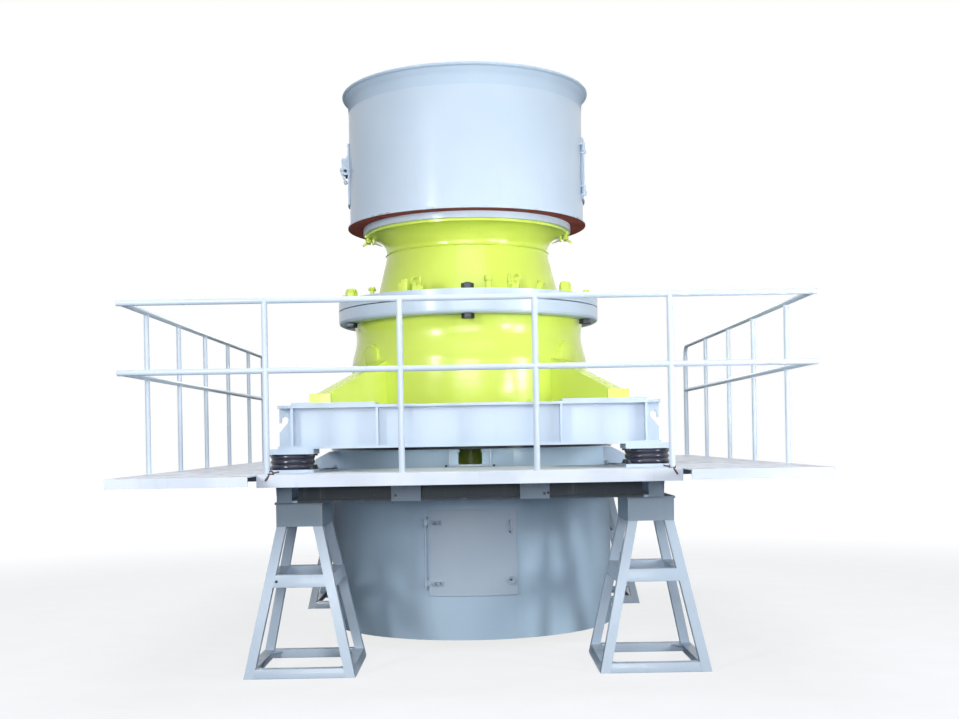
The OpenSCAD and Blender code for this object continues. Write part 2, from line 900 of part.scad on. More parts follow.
module adjusting_cylinder() {
    color(paint_green) {
        translate([0, 0, cylinder_z0])
            cylinder(r = cylinder_r, h = hub_z0 - cylinder_z0);
        translate([0, 0, hub_z0 - 50])
            cylinder(r = cylinder_r + 60, h = 50);
        translate([0, 0, cylinder_z0 + 20])
            cylinder(r = cylinder_r + 35, h = 40);
    }
}

module countershaft_housing() {
    color(paint_green)
        translate([0, 0, housing_z])
            rotate([-90, 0, 0]) {
                translate([0, 0, hub_r * 2 / 3])
                    cylinder(r = housing_r, h = pulley_y - pulley_clear - hub_r * 2 / 3);
                translate([0, 0, neck_r + shell_flare + seat_gap])
                    cylinder(r = housing_r + 35, h = 40);
                cylinder(r = 55, h = pulley_y);
            }
}

groove_n = 8;
groove_depth = 16;
groove_pitch = pulley_w / groove_n;

module drive_pulley() {
    color(steel_dark)
        translate([0, pulley_y, housing_z])
            rotate([-90, 0, 0])
                rotate_extrude()
                    polygon(concat(
                        [[0, 0], [95, 0], [95, 60], [pulley_r - 60, 60], [pulley_r - 40, 0]],
                        [for (i = [0 : groove_n - 1])
                            for (p = [[0, 0.1], [1, 0.35], [1, 0.65], [0, 0.9]])
                                [pulley_r - p[0] * groove_depth, (i + p[1]) * groove_pitch]],
                        [[pulley_r - 40, pulley_w], [pulley_r - 60, 150], [95, 150], [95, pulley_w], [0, pulley_w]]
                    ));
}

// ---- feed hopper ----
module hopper_seat_ring() {
    color(paint_blue)
        ring(throat_r + 40, seat_r, seat_z, floor_z);
}

module hopper_floor_ring() {
    color(paint_red)
        ring(throat_r, floor_r, floor_z, drum_z);
}

// hinge line, leaf and free edge of a curved door, as angles on a wall of radius r
function arc_deg(s, r) = s / r * 180 / PI;
hinge_r = drum_r + hinge_off;
door_edge_deg = arc_deg(plate_edge_off, drum_r);
door_lap_deg = arc_deg(door_overlap, drum_r);
// left door: front edge is its free edge, hinge at the rear
left_free_a = 180 + door_lead;
left_hinge_a = left_free_a - door_span;
// right door: hinge at the front edge
right_hinge_a = -door_lead - door_turn;
right_free_a = right_hinge_a + door_span;
door_z0 = drum_z + door_z;
door_z1 = door_z0 + door_h;
left_open = [left_hinge_a + door_edge_deg + door_lap_deg, left_free_a - door_lap_deg];
right_open = [right_hinge_a + door_edge_deg + door_lap_deg, right_free_a - door_lap_deg];

module hopper_wall_front() {
    color(paint_blue)
        wall_arc(drum_r, drum_t, left_open[1], 360 + right_open[0], drum_z, lip_z);
}

module hopper_wall_rear() {
    color(paint_blue)
        wall_arc(drum_r, drum_t, right_open[1], left_open[0], drum_z, lip_z);
}

module hopper_wall_sides() {
    color(paint_blue)
        for (a = [left_open, right_open]) {
            wall_arc(drum_r, drum_t, a[0], a[1], drum_z, door_z0 + door_overlap);
            wall_arc(drum_r, drum_t, a[0], a[1], door_z1 - door_overlap, lip_z);
        }
}

rim_r = 12;

lip_flare = lip_r - drum_r - rim_r / 3;
lip_rise = lip_h - rim_r;

// height of the flare at step i of six
function flare_z(i) = lip_z + lip_rise * sin(15 * i) * (0.55 + 0.45 * i / 6);
function flare_out(i) = lip_flare * (1 - cos(15 * i));

module hopper_lip() {
    color(paint_blue) {
        rotate_extrude()
            polygon(concat(
                [for (i = [0 : 6])
                    [drum_r - drum_t + flare_out(i), flare_z(i)]],
                [for (i = [6 : -1 : 0])
                    [drum_r + flare_out(i), flare_z(i) - (i == 0 ? 0 : drum_t / 2)]]
            ));
        rotate_extrude()
            translate([lip_r - rim_r, lip_z + lip_h - rim_r])
                circle(r = rim_r);
    }
}

strap_t = 10;
strap_h = 36;

// leaf, hinge knuckles and latch of a curved door on a wall of radius r.
// a_hinge and a_free are its edges, knuckle_zs its hinges
module curved_door(r, a_hinge, a_free, z0, z1, t, knuckle_zs) {
    dir = a_free > a_hinge ? 1 : -1;
    edge = arc_deg(plate_edge_off, r);
    lo = min(a_hinge + dir * edge, a_free);
    hi = max(a_hinge + dir * edge, a_free);
    wall_arc(r + door_seat + t, t, lo, hi, z0, z1);
    for (z = knuckle_zs)
        rotate([0, 0, a_hinge])
            difference() {
                union() {
                    translate([r + hinge_off, 0, z - knuckle_h / 2])
                        cylinder(r = knuckle_r, h = knuckle_h);
                    translate([r + hinge_off - strap_t - 2, dir > 0 ? 0 : -120, z - strap_h / 2])
                        cube([strap_t, 120, strap_h]);
                    translate([r + door_seat + t / 2, dir > 0 ? plate_edge_off + 10 : -115, z - strap_h / 2])
                        cube([hinge_off - door_seat - t / 2 - strap_t, 105, strap_h]);
                }
                translate([r + hinge_off, 0, z - knuckle_h / 2 - over])
                    cylinder(r = pin_r + pin_gap, h = knuckle_h + 2 * over);
                translate([0, 0, z - knuckle_h])
                    cylinder(r = r + door_seat + t / 2, h = 2 * knuckle_h);
            }
}

// rod and lugs that carry a curved door on a wall of radius r
module door_hinge(r, a_hinge, knuckle_zs) {
    rotate([0, 0, a_hinge])
        difference() {
            union() {
                translate([r + hinge_off, 0, knuckle_zs[0] - knuckle_h / 2 - knuckle_gap - lug_h])
                    cylinder(r = pin_r, h = knuckle_zs[1] - knuckle_zs[0] + knuckle_h + 2 * (knuckle_gap + lug_h));
                for (z = knuckle_zs)
                    for (s = [-1, 1])
                        translate([r - over, -lug_half_w, z + s * (knuckle_h / 2 + knuckle_gap + lug_h / 2) - lug_h / 2])
                            cube([hinge_off + over + pin_r + 5, 2 * lug_half_w, lug_h]);
            }
            translate([0, 0, knuckle_zs[0] - 2 * knuckle_h])
                cylinder(r = r + seat_gap, h = knuckle_zs[1] - knuckle_zs[0] + 4 * knuckle_h);
        }
}

door_knuckles = [door_z0 + 62, door_z1 - 92];
latch_w = 60;
latch_h = 190;
latch_deep = 70;
latch_z = door_z0 + 165;

// swing clamp with a handle that hangs down, at the free edge of a door
module latch(r, a) {
    rotate([0, 0, a])
        difference() {
            union() {
                translate([r, -latch_w / 2, latch_z + 60])
                    cube([45, latch_w, 60]);
                translate([r + 35, -14, latch_z])
                    cube([latch_deep - 35, 28, latch_h]);
            }
            cylinder(r = r + door_seat + 2, h = 2 * drum_z);
        }
}

module hopper_door_left() {
    color(paint_blue) {
        curved_door(drum_r, left_hinge_a, left_free_a, door_z0, door_z1, door_t, door_knuckles);
        latch(drum_r, left_free_a - arc_deg(latch_w / 2, drum_r));
    }
}

module hopper_door_right() {
    color(paint_blue) {
        curved_door(drum_r, right_hinge_a, right_free_a, door_z0, door_z1, door_t, door_knuckles);
        latch(drum_r, right_free_a - arc_deg(latch_w / 2, drum_r));
    }
}

// ---- dust chute ----
hatch_z1 = hatch_z + hatch_h;
hatch_hinge_a = 270 - hatch_half;
hatch_free_a = 270 + hatch_half;
hatch_edge_deg = arc_deg(plate_edge_off, chute_r);
hatch_lap_deg = arc_deg(door_overlap, chute_r);
hatch_open = [hatch_hinge_a + hatch_edge_deg + hatch_lap_deg, hatch_free_a - hatch_lap_deg];
hatch_knuckles = [hatch_z + 90, hatch_z1 - 90];
notch_half = 85;
notch_z = deck_z + 8;
port_half = 155;
chute_split = 35;
seam_deg = arc_deg(seat_gap, chute_r);
seal_in = 40;
seal_out = 6;
seal_gap = 2;

module chute_wall_left() {
    color(paint_blue)
        wall_arc(chute_r, chute_t, 180 - chute_split, hatch_open[0] - seam_deg, chute_z, chute_top_z);
}

module chute_wall_rear() {
    color(paint_blue)
        wall_arc(chute_r, chute_t, chute_split + seam_deg, 180 - chute_split - seam_deg, chute_z, chute_top_z);
}

module chute_wall_right() {
    color(paint_blue)
        wall_arc(chute_r, chute_t, hatch_open[1] - 360 + seam_deg, chute_split, chute_z, chute_top_z);
}

// soft ring that closes the gap under the base frame
module chute_seal() {
    color(rubber_black)
        ring(chute_r - seal_in, chute_r + seal_out, chute_top_z, frame_z0 - seal_gap);
}

module chute_wall_front() {
    color(paint_blue)
        difference() {
            union() {
                wall_arc(chute_r, chute_t, hatch_open[0], hatch_open[1], chute_z, hatch_z + door_overlap);
                wall_arc(chute_r, chute_t, hatch_open[0], hatch_open[1], hatch_z1 - door_overlap, chute_top_z);
                difference() {
                    block(-port_half, port_half, -chute_r - 25, -chute_r + 25, deck_z - 3, chute_top_z - 3);
                    translate([0, 0, deck_z - 50])
                        cylinder(r = chute_r - chute_t / 2, h = chute_top_z);
                }
            }
            block(-notch_half, notch_half, -chute_r - 100, -chute_r + 100, notch_z, chute_top_z + over);
        }
}

module chute_hatch() {
    color(paint_blue) {
        curved_door(chute_r, hatch_hinge_a, hatch_free_a, hatch_z, hatch_z1, chute_t, hatch_knuckles);
        rotate([0, 0, hatch_free_a - 3])
            translate([chute_r + door_seat + 1, 0, hatch_z + 110])
                rotate([0, 90, 0])
                    cylinder(r = 28, h = 45);
        rotate([0, 0, hatch_free_a - 3])
            difference() {
                translate([chute_r, -10, hatch_z1 - 190])
                    cube([60, 20, 130]);
                translate([chute_r + 10, -over - 10, hatch_z1 - 165])
                    cube([30, 20 + 2 * over, 80]);
                translate([0, 0, hatch_z])
                    cylinder(r = chute_r + door_seat + 2, h = hatch_h);
            }
    }
}

// rods and lugs of the two hopper doors and the chute hatch
module door_hinges() {
    color(paint_blue) {
        door_hinge(drum_r, left_hinge_a, door_knuckles);
        door_hinge(drum_r, right_hinge_a, door_knuckles);
        door_hinge(chute_r, hatch_hinge_a, hatch_knuckles);
    }
}

gusset_y = 420;
gusset_t = 12;
gusset_out_x = chute_r + 90;
gusset_chamfer = 110;
gusset_drop = 8;
mouse_hole_r = 22;

// plates that carry the chute on the side beams
module chute_brackets() {
    color(paint_blue)
        corners()
            difference() {
                translate([0, gusset_y + gusset_t / 2, support_z1])
                    rotate([90, 0, 0])
                        linear_extrude(gusset_t)
                            difference() {
                                polygon([
                                    [chute_r * 0.9, 0], [gusset_out_x, 0], [gusset_out_x, chute_top_z - support_z1 - gusset_chamfer * 0.6],
                                    [gusset_out_x - gusset_chamfer, chute_top_z - support_z1 - gusset_drop],
                                    [chute_r * 0.9, chute_top_z - support_z1 - gusset_drop]
                                ]);
                                translate([sqrt(pow(chute_r, 2) - pow(gusset_y, 2)) + mouse_hole_r, 0])
                                    circle(r = mouse_hole_r);
                            }
                cylinder(r = chute_r + seat_gap, h = 2 * frame_z0);
            }
}

stand_legs();
stand_rails();
stand_top_boxes();
support_side_beams();
support_cross_beams();
deck_brackets();
deck_front_walkway();
deck_left_walkway();
deck_right_walkway();
top_rails();
mid_rails();
railing_posts();
frame_end_beams();
frame_side_beams();
frame_pads();
lifting_hooks();
isolator_plates();
isolator_rubbers();
lower_shell();
shell_arms();
lower_flange_ring();
upper_flange_ring();
flange_bolts();
upper_shell();
upper_shell_mouth();
spider();
concave_liner();
mantle();
bottom_hub();
adjusting_cylinder();
countershaft_housing();
drive_pulley();
hopper_seat_ring();
hopper_floor_ring();
hopper_wall_front();
hopper_wall_rear();
hopper_wall_sides();
hopper_lip();
hopper_door_left();
hopper_door_right();
chute_wall_left();
chute_wall_rear();
chute_wall_right();
chute_wall_front();
chute_seal();
chute_hatch();
chute_brackets();
door_hinges();
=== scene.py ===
import itertools
import json
import math

import bmesh
import bpy
from mathutils import Matrix, Vector


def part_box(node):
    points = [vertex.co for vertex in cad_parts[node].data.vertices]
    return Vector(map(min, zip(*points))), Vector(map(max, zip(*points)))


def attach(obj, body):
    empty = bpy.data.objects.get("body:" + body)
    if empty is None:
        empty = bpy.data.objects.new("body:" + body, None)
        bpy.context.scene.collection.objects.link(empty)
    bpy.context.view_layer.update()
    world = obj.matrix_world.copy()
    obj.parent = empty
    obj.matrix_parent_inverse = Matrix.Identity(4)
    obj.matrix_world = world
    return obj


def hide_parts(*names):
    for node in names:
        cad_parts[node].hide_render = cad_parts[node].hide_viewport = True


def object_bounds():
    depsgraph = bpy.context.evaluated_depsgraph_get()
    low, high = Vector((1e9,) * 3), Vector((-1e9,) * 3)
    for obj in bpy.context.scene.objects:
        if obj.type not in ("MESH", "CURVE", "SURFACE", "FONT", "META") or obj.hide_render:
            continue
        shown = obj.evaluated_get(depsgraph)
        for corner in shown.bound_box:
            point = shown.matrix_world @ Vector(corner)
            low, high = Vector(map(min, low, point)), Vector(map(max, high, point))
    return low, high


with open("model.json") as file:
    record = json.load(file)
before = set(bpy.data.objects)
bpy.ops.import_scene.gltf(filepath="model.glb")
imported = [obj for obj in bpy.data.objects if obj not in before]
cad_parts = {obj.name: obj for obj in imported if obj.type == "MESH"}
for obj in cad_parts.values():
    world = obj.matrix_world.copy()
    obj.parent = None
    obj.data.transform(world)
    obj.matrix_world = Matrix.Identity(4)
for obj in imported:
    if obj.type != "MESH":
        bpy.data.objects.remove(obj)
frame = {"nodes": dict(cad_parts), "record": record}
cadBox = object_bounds()
bpy.context.scene.view_settings.view_transform = "Standard"
print("frame loaded:", len(frame["nodes"]), "nodes")


def rgb(red, green, blue):  # screen colour, 0 to 255, as linear light
    def linear(value):
        value = value / 255
        return value / 12.92 if value <= 0.04045 else ((value + 0.055) / 1.055) ** 2.4
    return (linear(red), linear(green), linear(blue), 1.0)


class Link:  # one socket of a shader tree, used in sums
    def __init__(self, finish, socket):
        self.finish = finish
        self.socket = socket

    def maths(self, operation, *values):
        return self.finish.node("ShaderNodeMath", dict(enumerate(values)), operation=operation)

    def __add__(self, other):
        return self.maths("ADD", self, other)

    __radd__ = __add__

    def __sub__(self, other):
        return self.maths("SUBTRACT", self, other)

    def __mul__(self, other):
        return self.maths("MULTIPLY", self, other)

    def clamp(self, low=0.0, high=1.0):
        return self.finish.node("ShaderNodeClamp", {"Value": self, "Min": low, "Max": high})

    def spread(self, low, high):  # maps low..high to 0..1 with soft ends
        return self.finish.node("ShaderNodeMapRange", {"Value": self, "From Min": low, "From Max": high},
                                interpolation_type="SMOOTHSTEP")


class Finish:  # a material, or the sky, and the nodes that make it
    def __init__(self, name, family="materials"):
        self.owner = getattr(bpy.data, family).new(name)
        self.owner.use_nodes = True
        self.nodes = self.owner.node_tree.nodes
        self.links = self.owner.node_tree.links
        self.nodes.clear()

    def node(self, kind, inputs, output=0, **settings):  # values and links go into the named inputs
        made = self.nodes.new(kind)
        for key, value in settings.items():
            setattr(made, key, value)
        for key, value in inputs.items():
            if isinstance(value, Link):
                self.links.new(value.socket, made.inputs[key])
            else:
                made.inputs[key].default_value = value
        return Link(self, made.outputs[output]) if made.outputs else made

    def place(self):  # the object's own coordinates
        return self.node("ShaderNodeTexCoord", {}, "Object")

    def normalUp(self):  # z of the face normal: 1 looks up, -1 looks down
        normal = self.node("ShaderNodeNewGeometry", {}, "Normal")
        return self.node("ShaderNodeSeparateXYZ", {0: normal}, 2)

    def noise(self, place, scale, detail=3.0, roughness=0.5):
        inputs = {"Vector": place, "Scale": scale, "Detail": detail, "Roughness": roughness}
        return self.node("ShaderNodeTexNoise", inputs, "Fac", noise_dimensions="3D")

    def stretch(self, place, scale):
        return self.node("ShaderNodeMapping", {"Vector": place, "Scale": scale})

    def blend(self, share, first, second):
        return self.node("ShaderNodeMix", {"Factor": share, 6: first, 7: second}, 2, data_type="RGBA")

    def bump(self, height, strength, distance, under=None):
        inputs = {"Height": height, "Strength": strength, "Distance": distance}
        if under is not None:
            inputs["Normal"] = under
        return self.node("ShaderNodeBump", inputs)

    def finish(self, shaderInputs):
        shader = self.node("ShaderNodeBsdfPrincipled", shaderInputs)
        self.node("ShaderNodeOutputMaterial", {"Surface": shader})
        return self.owner


weather = {  # noise scales, and the ranges that turn noise into dust, runs and specks
    "fineScale": 9.0, "runStretch": (11.0, 11.0, 0.7), "speckScale": 70.0, "broad": (0.35, 0.65),
    "upward": (0.55, 0.98), "settle": (0.30, 0.72), "runs": (0.56, 0.80), "runBreaks": (0.35, 0.65),
    "specks": (0.63, 0.74), "fineRough": 0.10, "grimeRough": 0.45, "stainRough": 0.15, "waveDepth": 0.02,
    "grainDepth": 0.002,
}


def paintedSteel(name, look):
    f = Finish(name)
    place = f.place()
    broad = f.noise(place, look["patchScale"], 3.0, 0.55)
    fine = f.noise(place, weather["fineScale"], 5.0, 0.6)
    runs = f.noise(f.stretch(place, weather["runStretch"]), 1.0, 4.0, 0.6)
    speck = f.noise(place, weather["speckScale"], 2.0, 0.5)
    up = f.normalUp().clamp()
    settled = (up.spread(*weather["upward"]) * fine.spread(*weather["settle"])).clamp() * look["dust"]
    stain = runs.spread(*weather["runs"]) * fine.spread(*weather["runBreaks"]) * look["stain"]
    grime = (settled + speck.spread(*weather["specks"]) * look["specks"]).clamp()
    colour = f.blend(broad.spread(*weather["broad"]), look["colour"], look["shade"])
    colour = f.blend(stain.clamp(), colour, look["stainColour"])
    colour = f.blend(grime, colour, look["dustColour"])
    roughness = (look["roughness"] + (fine - 0.5) * weather["fineRough"] + grime * weather["grimeRough"]
                 + stain * weather["stainRough"]).clamp(0.05, 1.0)
    normal = f.bump(f.noise(place, look["waveScale"], 2.0, 0.4), look["wave"], weather["waveDepth"])
    normal = f.bump(f.noise(place, look["grainScale"], 3.0, 0.55), look["grain"], weather["grainDepth"], normal)
    return f.finish({"Base Color": colour, "Roughness": roughness, "Metallic": 0.0, "IOR": 1.5,
                     "Specular IOR Level": look["shine"], "Coat Weight": look["coat"], "Coat Roughness": 0.06,
                     "Normal": normal})


platePaint = {
    "colour": rgb(196, 212, 229), "shade": rgb(187, 205, 223), "stainColour": rgb(168, 176, 180),
    "dustColour": rgb(176, 168, 158), "patchScale": 0.9, "dust": 0.35, "stain": 0.30, "specks": 0.10,
    "roughness": 0.30, "coat": 0.15, "shine": 0.3, "wave": 0.06, "waveScale": 2.2, "grain": 0.10, "grainScale": 260.0,
}
castPaint = {
    "colour": rgb(212, 232, 102), "shade": rgb(203, 225, 88), "stainColour": rgb(176, 200, 58),
    "dustColour": rgb(196, 206, 130), "patchScale": 1.2, "dust": 0.18, "stain": 0.25, "specks": 0.06,
    "roughness": 0.24, "coat": 0.22, "shine": 0.38, "wave": 0.10, "waveScale": 6.0, "grain": 0.30, "grainScale": 90.0,
}
legPaint = dict(platePaint, colour=rgb(188, 205, 222), shade=rgb(180, 197, 215), shine=0.25, wave=0.0, stain=0.40)
# darker copy of the leg paint for the stand boxes and the brackets under the deck: painted shade of the deck's
# overhang
boxShadePaint = dict(legPaint, colour=rgb(152, 169, 185), shade=rgb(143, 161, 178))
# near-black copy of the leg paint for the cross beams under the deck: painted shade of the deck
underShadePaint = dict(legPaint, colour=rgb(72, 84, 93), shade=rgb(62, 74, 83), shine=0.15, coat=0.0)
deckPaint = dict(platePaint, colour=rgb(215, 225, 239), shade=rgb(203, 213, 227), dust=0.65, stain=0.4,
                 dustColour=rgb(240, 235, 239), roughness=0.42, coat=0.1, patchScale=2.4)
wingPaint = dict(deckPaint, dustColour=rgb(180, 173, 177), dust=0.85)
rollerPaint = dict(platePaint, colour=rgb(188, 204, 222), shade=rgb(179, 197, 215), wave=0.0, grain=0.14, stain=0.40)
railPaint = dict(rollerPaint, colour=rgb(208, 222, 238), shade=rgb(198, 213, 230))
lipPaint = dict(platePaint, colour=rgb(190, 208, 226), shade=rgb(180, 200, 219), shine=0.0, coat=0.0, roughness=0.4)
chutePaint = dict(platePaint, colour=rgb(196, 221, 241), shade=rgb(186, 212, 233), shine=0.22, coat=0.1)
primerPaint = dict(platePaint, colour=rgb(160, 78, 68), shade=rgb(142, 66, 60), stainColour=rgb(118, 60, 56),
                   dustColour=rgb(160, 120, 108), roughness=0.7, coat=0.0, shine=0.12, wave=0.0, grain=0.2)
bluePlate = paintedSteel("bluePlatePaint", platePaint)
blueSection = paintedSteel("blueSectionPaint", rollerPaint)
blueRail = paintedSteel("railTubePaint", railPaint)
blueLip = paintedSteel("lipPaint", lipPaint)
blueLeg = paintedSteel("standLegPaint", legPaint)
blueBoxShaded = paintedSteel("standBoxShadePaint", boxShadePaint)
blueUnderShaded = paintedSteel("underDeckShadePaint", underShadePaint)
blueDeck = paintedSteel("dustyDeckPaint", deckPaint)
blueWing = paintedSteel("dustyWingPaint", wingPaint)
blueChute = paintedSteel("chutePlatePaint", chutePaint)
greenCast = paintedSteel("greenCastingPaint", castPaint)
redPrimer = paintedSteel("redOxidePrimer", primerPaint)


def primerUnder(name, look):  # blue edge and top, red-oxide primer left bare underneath
    f = Finish(name)
    patch = f.noise(f.place(), *look["patches"])
    down = (f.normalUp() * -1.0).spread(*look["under"])
    worn = (down + patch.spread(*look["wear"]) * look["worn"]).clamp()
    red = f.blend(patch.spread(*look["redPatches"]), *look["primer"])
    colour = f.blend(worn, f.blend(patch.spread(*look["bluePatches"]), look["colour"], look["shade"]), red)
    return f.finish({"Base Color": colour, "Roughness": look["roughness"] + worn * look["wornRough"],
                     "Specular IOR Level": look["shine"]})


twoTone = primerUnder("twoToneFloorRing", dict(
    platePaint, primer=(rgb(158, 84, 76), rgb(132, 66, 62)), patches=(5.0, 4.0, 0.6), under=(0.2, 0.8),
    wear=(0.52, 0.66), worn=0.5, redPatches=(0.3, 0.7), bluePatches=(0.4, 0.7), roughness=0.5, wornRough=0.3,
    shine=0.05))

rusting = {  # fine grain, and how rust spreads over bare metal, roughens and dulls it
    "fine": (120.0, 3.0, 0.6), "fineRough": 0.25, "fineDepth": 0.001, "clouds": (0.3, 0.7), "spots": (0.55, 0.75),
    "colour": rgb(112, 66, 44), "rough": 0.4, "dull": 0.6,
}


def bareMetal(name, look):
    f = Finish(name)
    place = f.place()
    cloud = f.noise(place, look["patchScale"], 5.0, 0.6)
    fine = f.noise(place, *rusting["fine"])
    rust = cloud.spread(*rusting["spots"]) * look["rust"]
    colour = f.blend(cloud.spread(*rusting["clouds"]), look["colour"], look["shade"])
    colour = f.blend(rust.clamp(), colour, rusting["colour"])
    roughness = look["roughness"] + (fine - 0.5) * rusting["fineRough"] + rust * rusting["rough"]
    normal = f.bump(fine, look["grain"], rusting["fineDepth"])
    metallic = (look["metallic"] + rust * -rusting["dull"]).clamp()
    return f.finish({"Base Color": colour, "Roughness": roughness.clamp(0.05, 1.0), "Metallic": metallic,
                     "Normal": normal})


boltSteel = bareMetal("darkBoltSteel", {"colour": rgb(52, 56, 64), "shade": rgb(70, 72, 80), "rust": 0.15,
                                        "roughness": 0.38, "metallic": 0.75, "grain": 0.2, "patchScale": 30.0})
rustySteel = bareMetal("rustyBracketSteel", {"colour": rgb(74, 62, 60), "shade": rgb(96, 72, 60), "rust": 0.8,
                                             "roughness": 0.6, "metallic": 0.5, "grain": 0.5, "patchScale": 24.0})
wornSteel = bareMetal("manganeseSteel", {"colour": rgb(120, 118, 116), "shade": rgb(98, 96, 96), "rust": 0.35,
                                         "roughness": 0.42, "metallic": 0.85, "grain": 0.4, "patchScale": 6.0})
castIronAndShade = bareMetal("oiledCastIronAndShade", {"colour": rgb(62, 64, 68), "shade": rgb(48, 50, 54), "rust": 0.12,
                                       "roughness": 0.45, "metallic": 0.7, "grain": 0.6, "patchScale": 14.0})


def springRubber(name, look):
    f = Finish(name)
    place = f.place()
    bloom = f.noise(place, *look["bloom"])
    fine = f.noise(place, *look["fine"])
    up = f.normalUp().clamp()
    dusty = up.spread(*look["upward"]) * look["upDust"] + bloom.spread(*look["blotches"]) * look["bloomDust"]
    dusty = dusty.clamp()
    colour = f.blend(dusty, look["colour"], look["dustColour"])
    roughness = (look["roughness"] + dusty * look["dustRough"] + fine * look["fineRough"]).clamp()
    return f.finish({"Base Color": colour, "Roughness": roughness, "Normal": f.bump(fine, *look["grain"])})


blackRubber = springRubber("springRubber", {
    "colour": rgb(40, 43, 58), "dustColour": rgb(104, 102, 112), "roughness": 0.20, "bloom": (7.0, 4.0, 0.6),
    "fine": (220.0, 2.0, 0.5), "upward": (0.2, 0.9), "upDust": 0.35, "blotches": (0.5, 0.8), "bloomDust": 0.15,
    "dustRough": 0.3, "fineRough": 0.06, "grain": (0.08, 0.001)})
print("finishes made")

# finish of every node of the frame
nodeFinish = {node: finish for finish, nodes in (
    (blackRubber, "isolator_rubbers"), (twoTone, "hopper_floor_ring"), (wornSteel, "concave_liner mantle"),
    (castIronAndShade, "drive_pulley"), (blueDeck, "deck_front_walkway"), (blueWing, "deck_left_walkway deck_right_walkway"),
    (blueLeg, "stand_legs"), (blueBoxShaded, "stand_top_boxes"), (blueUnderShaded, "support_cross_beams"),
    (blueRail, "top_rails mid_rails railing_posts"),
    (blueChute, "chute_wall_left chute_wall_rear chute_wall_right chute_wall_front"),
    (blueSection, "stand_rails support_side_beams deck_brackets frame_end_beams frame_side_beams frame_pads "
                  "lifting_hooks isolator_plates chute_brackets")) for node in nodes.split()}
# the dark steel slot takes dark cast iron; on the bottom hub seen through the chute's port, this darkness is partly
# painted shade of the port's inside
slotFinish = {"green_paint": greenCast, "blue_paint": bluePlate, "red_primer": redPrimer, "rubber": blackRubber,
              "dark_steel": castIronAndShade, "bare_steel": wornSteel}
slots = {part["node"]: part["material_slot"] for part in frame["record"]["subparts"]}
for node, shown in frame["nodes"].items():
    shown.data.materials.clear()
    shown.data.materials.append(nodeFinish.get(node) or slotFinish[slots[node]])
print("nodes finished")


def shift(x, y, z):
    return Matrix.Translation((x, y, z))


def rise(z):
    return shift(0, 0, z)


def aimed(start, end, axis):  # stands at the start with one axis towards the end
    along = Vector(end) - Vector(start)
    return Matrix.Translation(start) @ along.to_track_quat(axis, "Y").to_matrix().to_4x4()


def turned(angle, radius, z):  # a place on a circle round the crusher's axis, x pointing outwards
    return tilted(angle, "Z") @ shift(radius, 0, z)


def tilted(degrees, axis):
    return Matrix.Rotation(math.radians(degrees), 4, axis)


outwards = tilted(90, "Y")  # lays a round part along the local x
forwards = tilted(90, "X")  # lays it along the local -y
backwards = tilted(-90, "X")
quarter = [math.radians(angle) for angle in range(0, 91, 15)]


def edgesOf(verts):
    return list({edge for vert in verts for edge in vert.link_edges})


def soften(bm, edges, width, segments=2):
    bmesh.ops.bevel(bm, geom=edges, offset=width, offset_type="OFFSET", segments=segments, affect="EDGES",
                    profile=0.5, material=-1)


def addBlock(bm, matrix, size, soft=0.003):  # block with rounded edges
    made = bmesh.ops.create_cube(bm, size=1, matrix=matrix @ Matrix.Diagonal((*size, 1)))["verts"]
    soften(bm, edgesOf(made), min(soft, min(size) * 0.3))


def addRound(bm, matrix, radius, height, sides=24, soft=0.002, top=None):  # disc or hexagon standing on its base
    made = bmesh.ops.create_cone(bm, cap_ends=True, cap_tris=False, segments=sides, radius1=radius,
                                 radius2=radius if top is None else top, depth=height,
                                 matrix=matrix @ rise(height / 2))["verts"]
    if soft:
        rims = [edge for edge in edgesOf(made) if any(len(face.verts) > 4 for face in edge.link_faces)]
        soften(bm, rims, soft)


def addCircle(bm, matrix, radius, sides):  # open ring of edges, ready to be swept
    verts = bmesh.ops.create_circle(bm, cap_ends=False, segments=sides, radius=radius, matrix=matrix)["verts"]
    return verts + edgesOf(verts)


def sweep(bm, shape, matrix, steps):  # turns a shape all the way round the local z axis
    bmesh.ops.spin(bm, geom=shape, cent=matrix.translation, axis=matrix.to_3x3() @ Vector((0, 0, 1)),
                   angle=math.tau, steps=steps, use_merge=True, use_duplicate=False)


def addRing(bm, matrix, radius, thick, sides=28, around=10):  # torus lying flat
    sweep(bm, addCircle(bm, matrix @ shift(radius, 0, 0) @ forwards, thick, around), matrix, sides)


def addOutline(bm, matrix, points):  # closed line of (radius, z) in the local xz plane
    verts = [bm.verts.new(matrix @ Vector((radius, 0, z))) for radius, z in points]
    return verts + [bm.edges.new((verts[i], verts[(i + 1) % len(verts)])) for i in range(len(verts))]


def addLathe(bm, profile, steps, matrix=None):  # closed outline turned round the axis
    matrix = matrix or Matrix.Identity(4)
    sweep(bm, addOutline(bm, matrix, profile), matrix, steps)


def addPlate(bm, points, pull):  # flat outline pulled out to a plate
    face = bm.faces.new([bm.verts.new(point) for point in points])
    pulled = bmesh.ops.extrude_face_region(bm, geom=[face])["geom"]
    bmesh.ops.translate(bm, vec=pull, verts=[item for item in pulled if isinstance(item, bmesh.types.BMVert)])


def addRod(bm, start, end, radius, sides=16):  # round bar between two points
    long = (Vector(end) - Vector(start)).length
    addRound(bm, aimed(start, end, "Z"), radius, long, sides, soft=radius * 0.2)


def link(name, data):
    made = bpy.data.objects.new(name, data)
    bpy.context.scene.collection.objects.link(made)
    return made


def meshObject(name, bm, finish):
    mesh = bpy.data.meshes.new(name)
    bm.to_mesh(mesh)
    bm.free()
    mesh.materials.append(finish)
    return link(name, mesh)


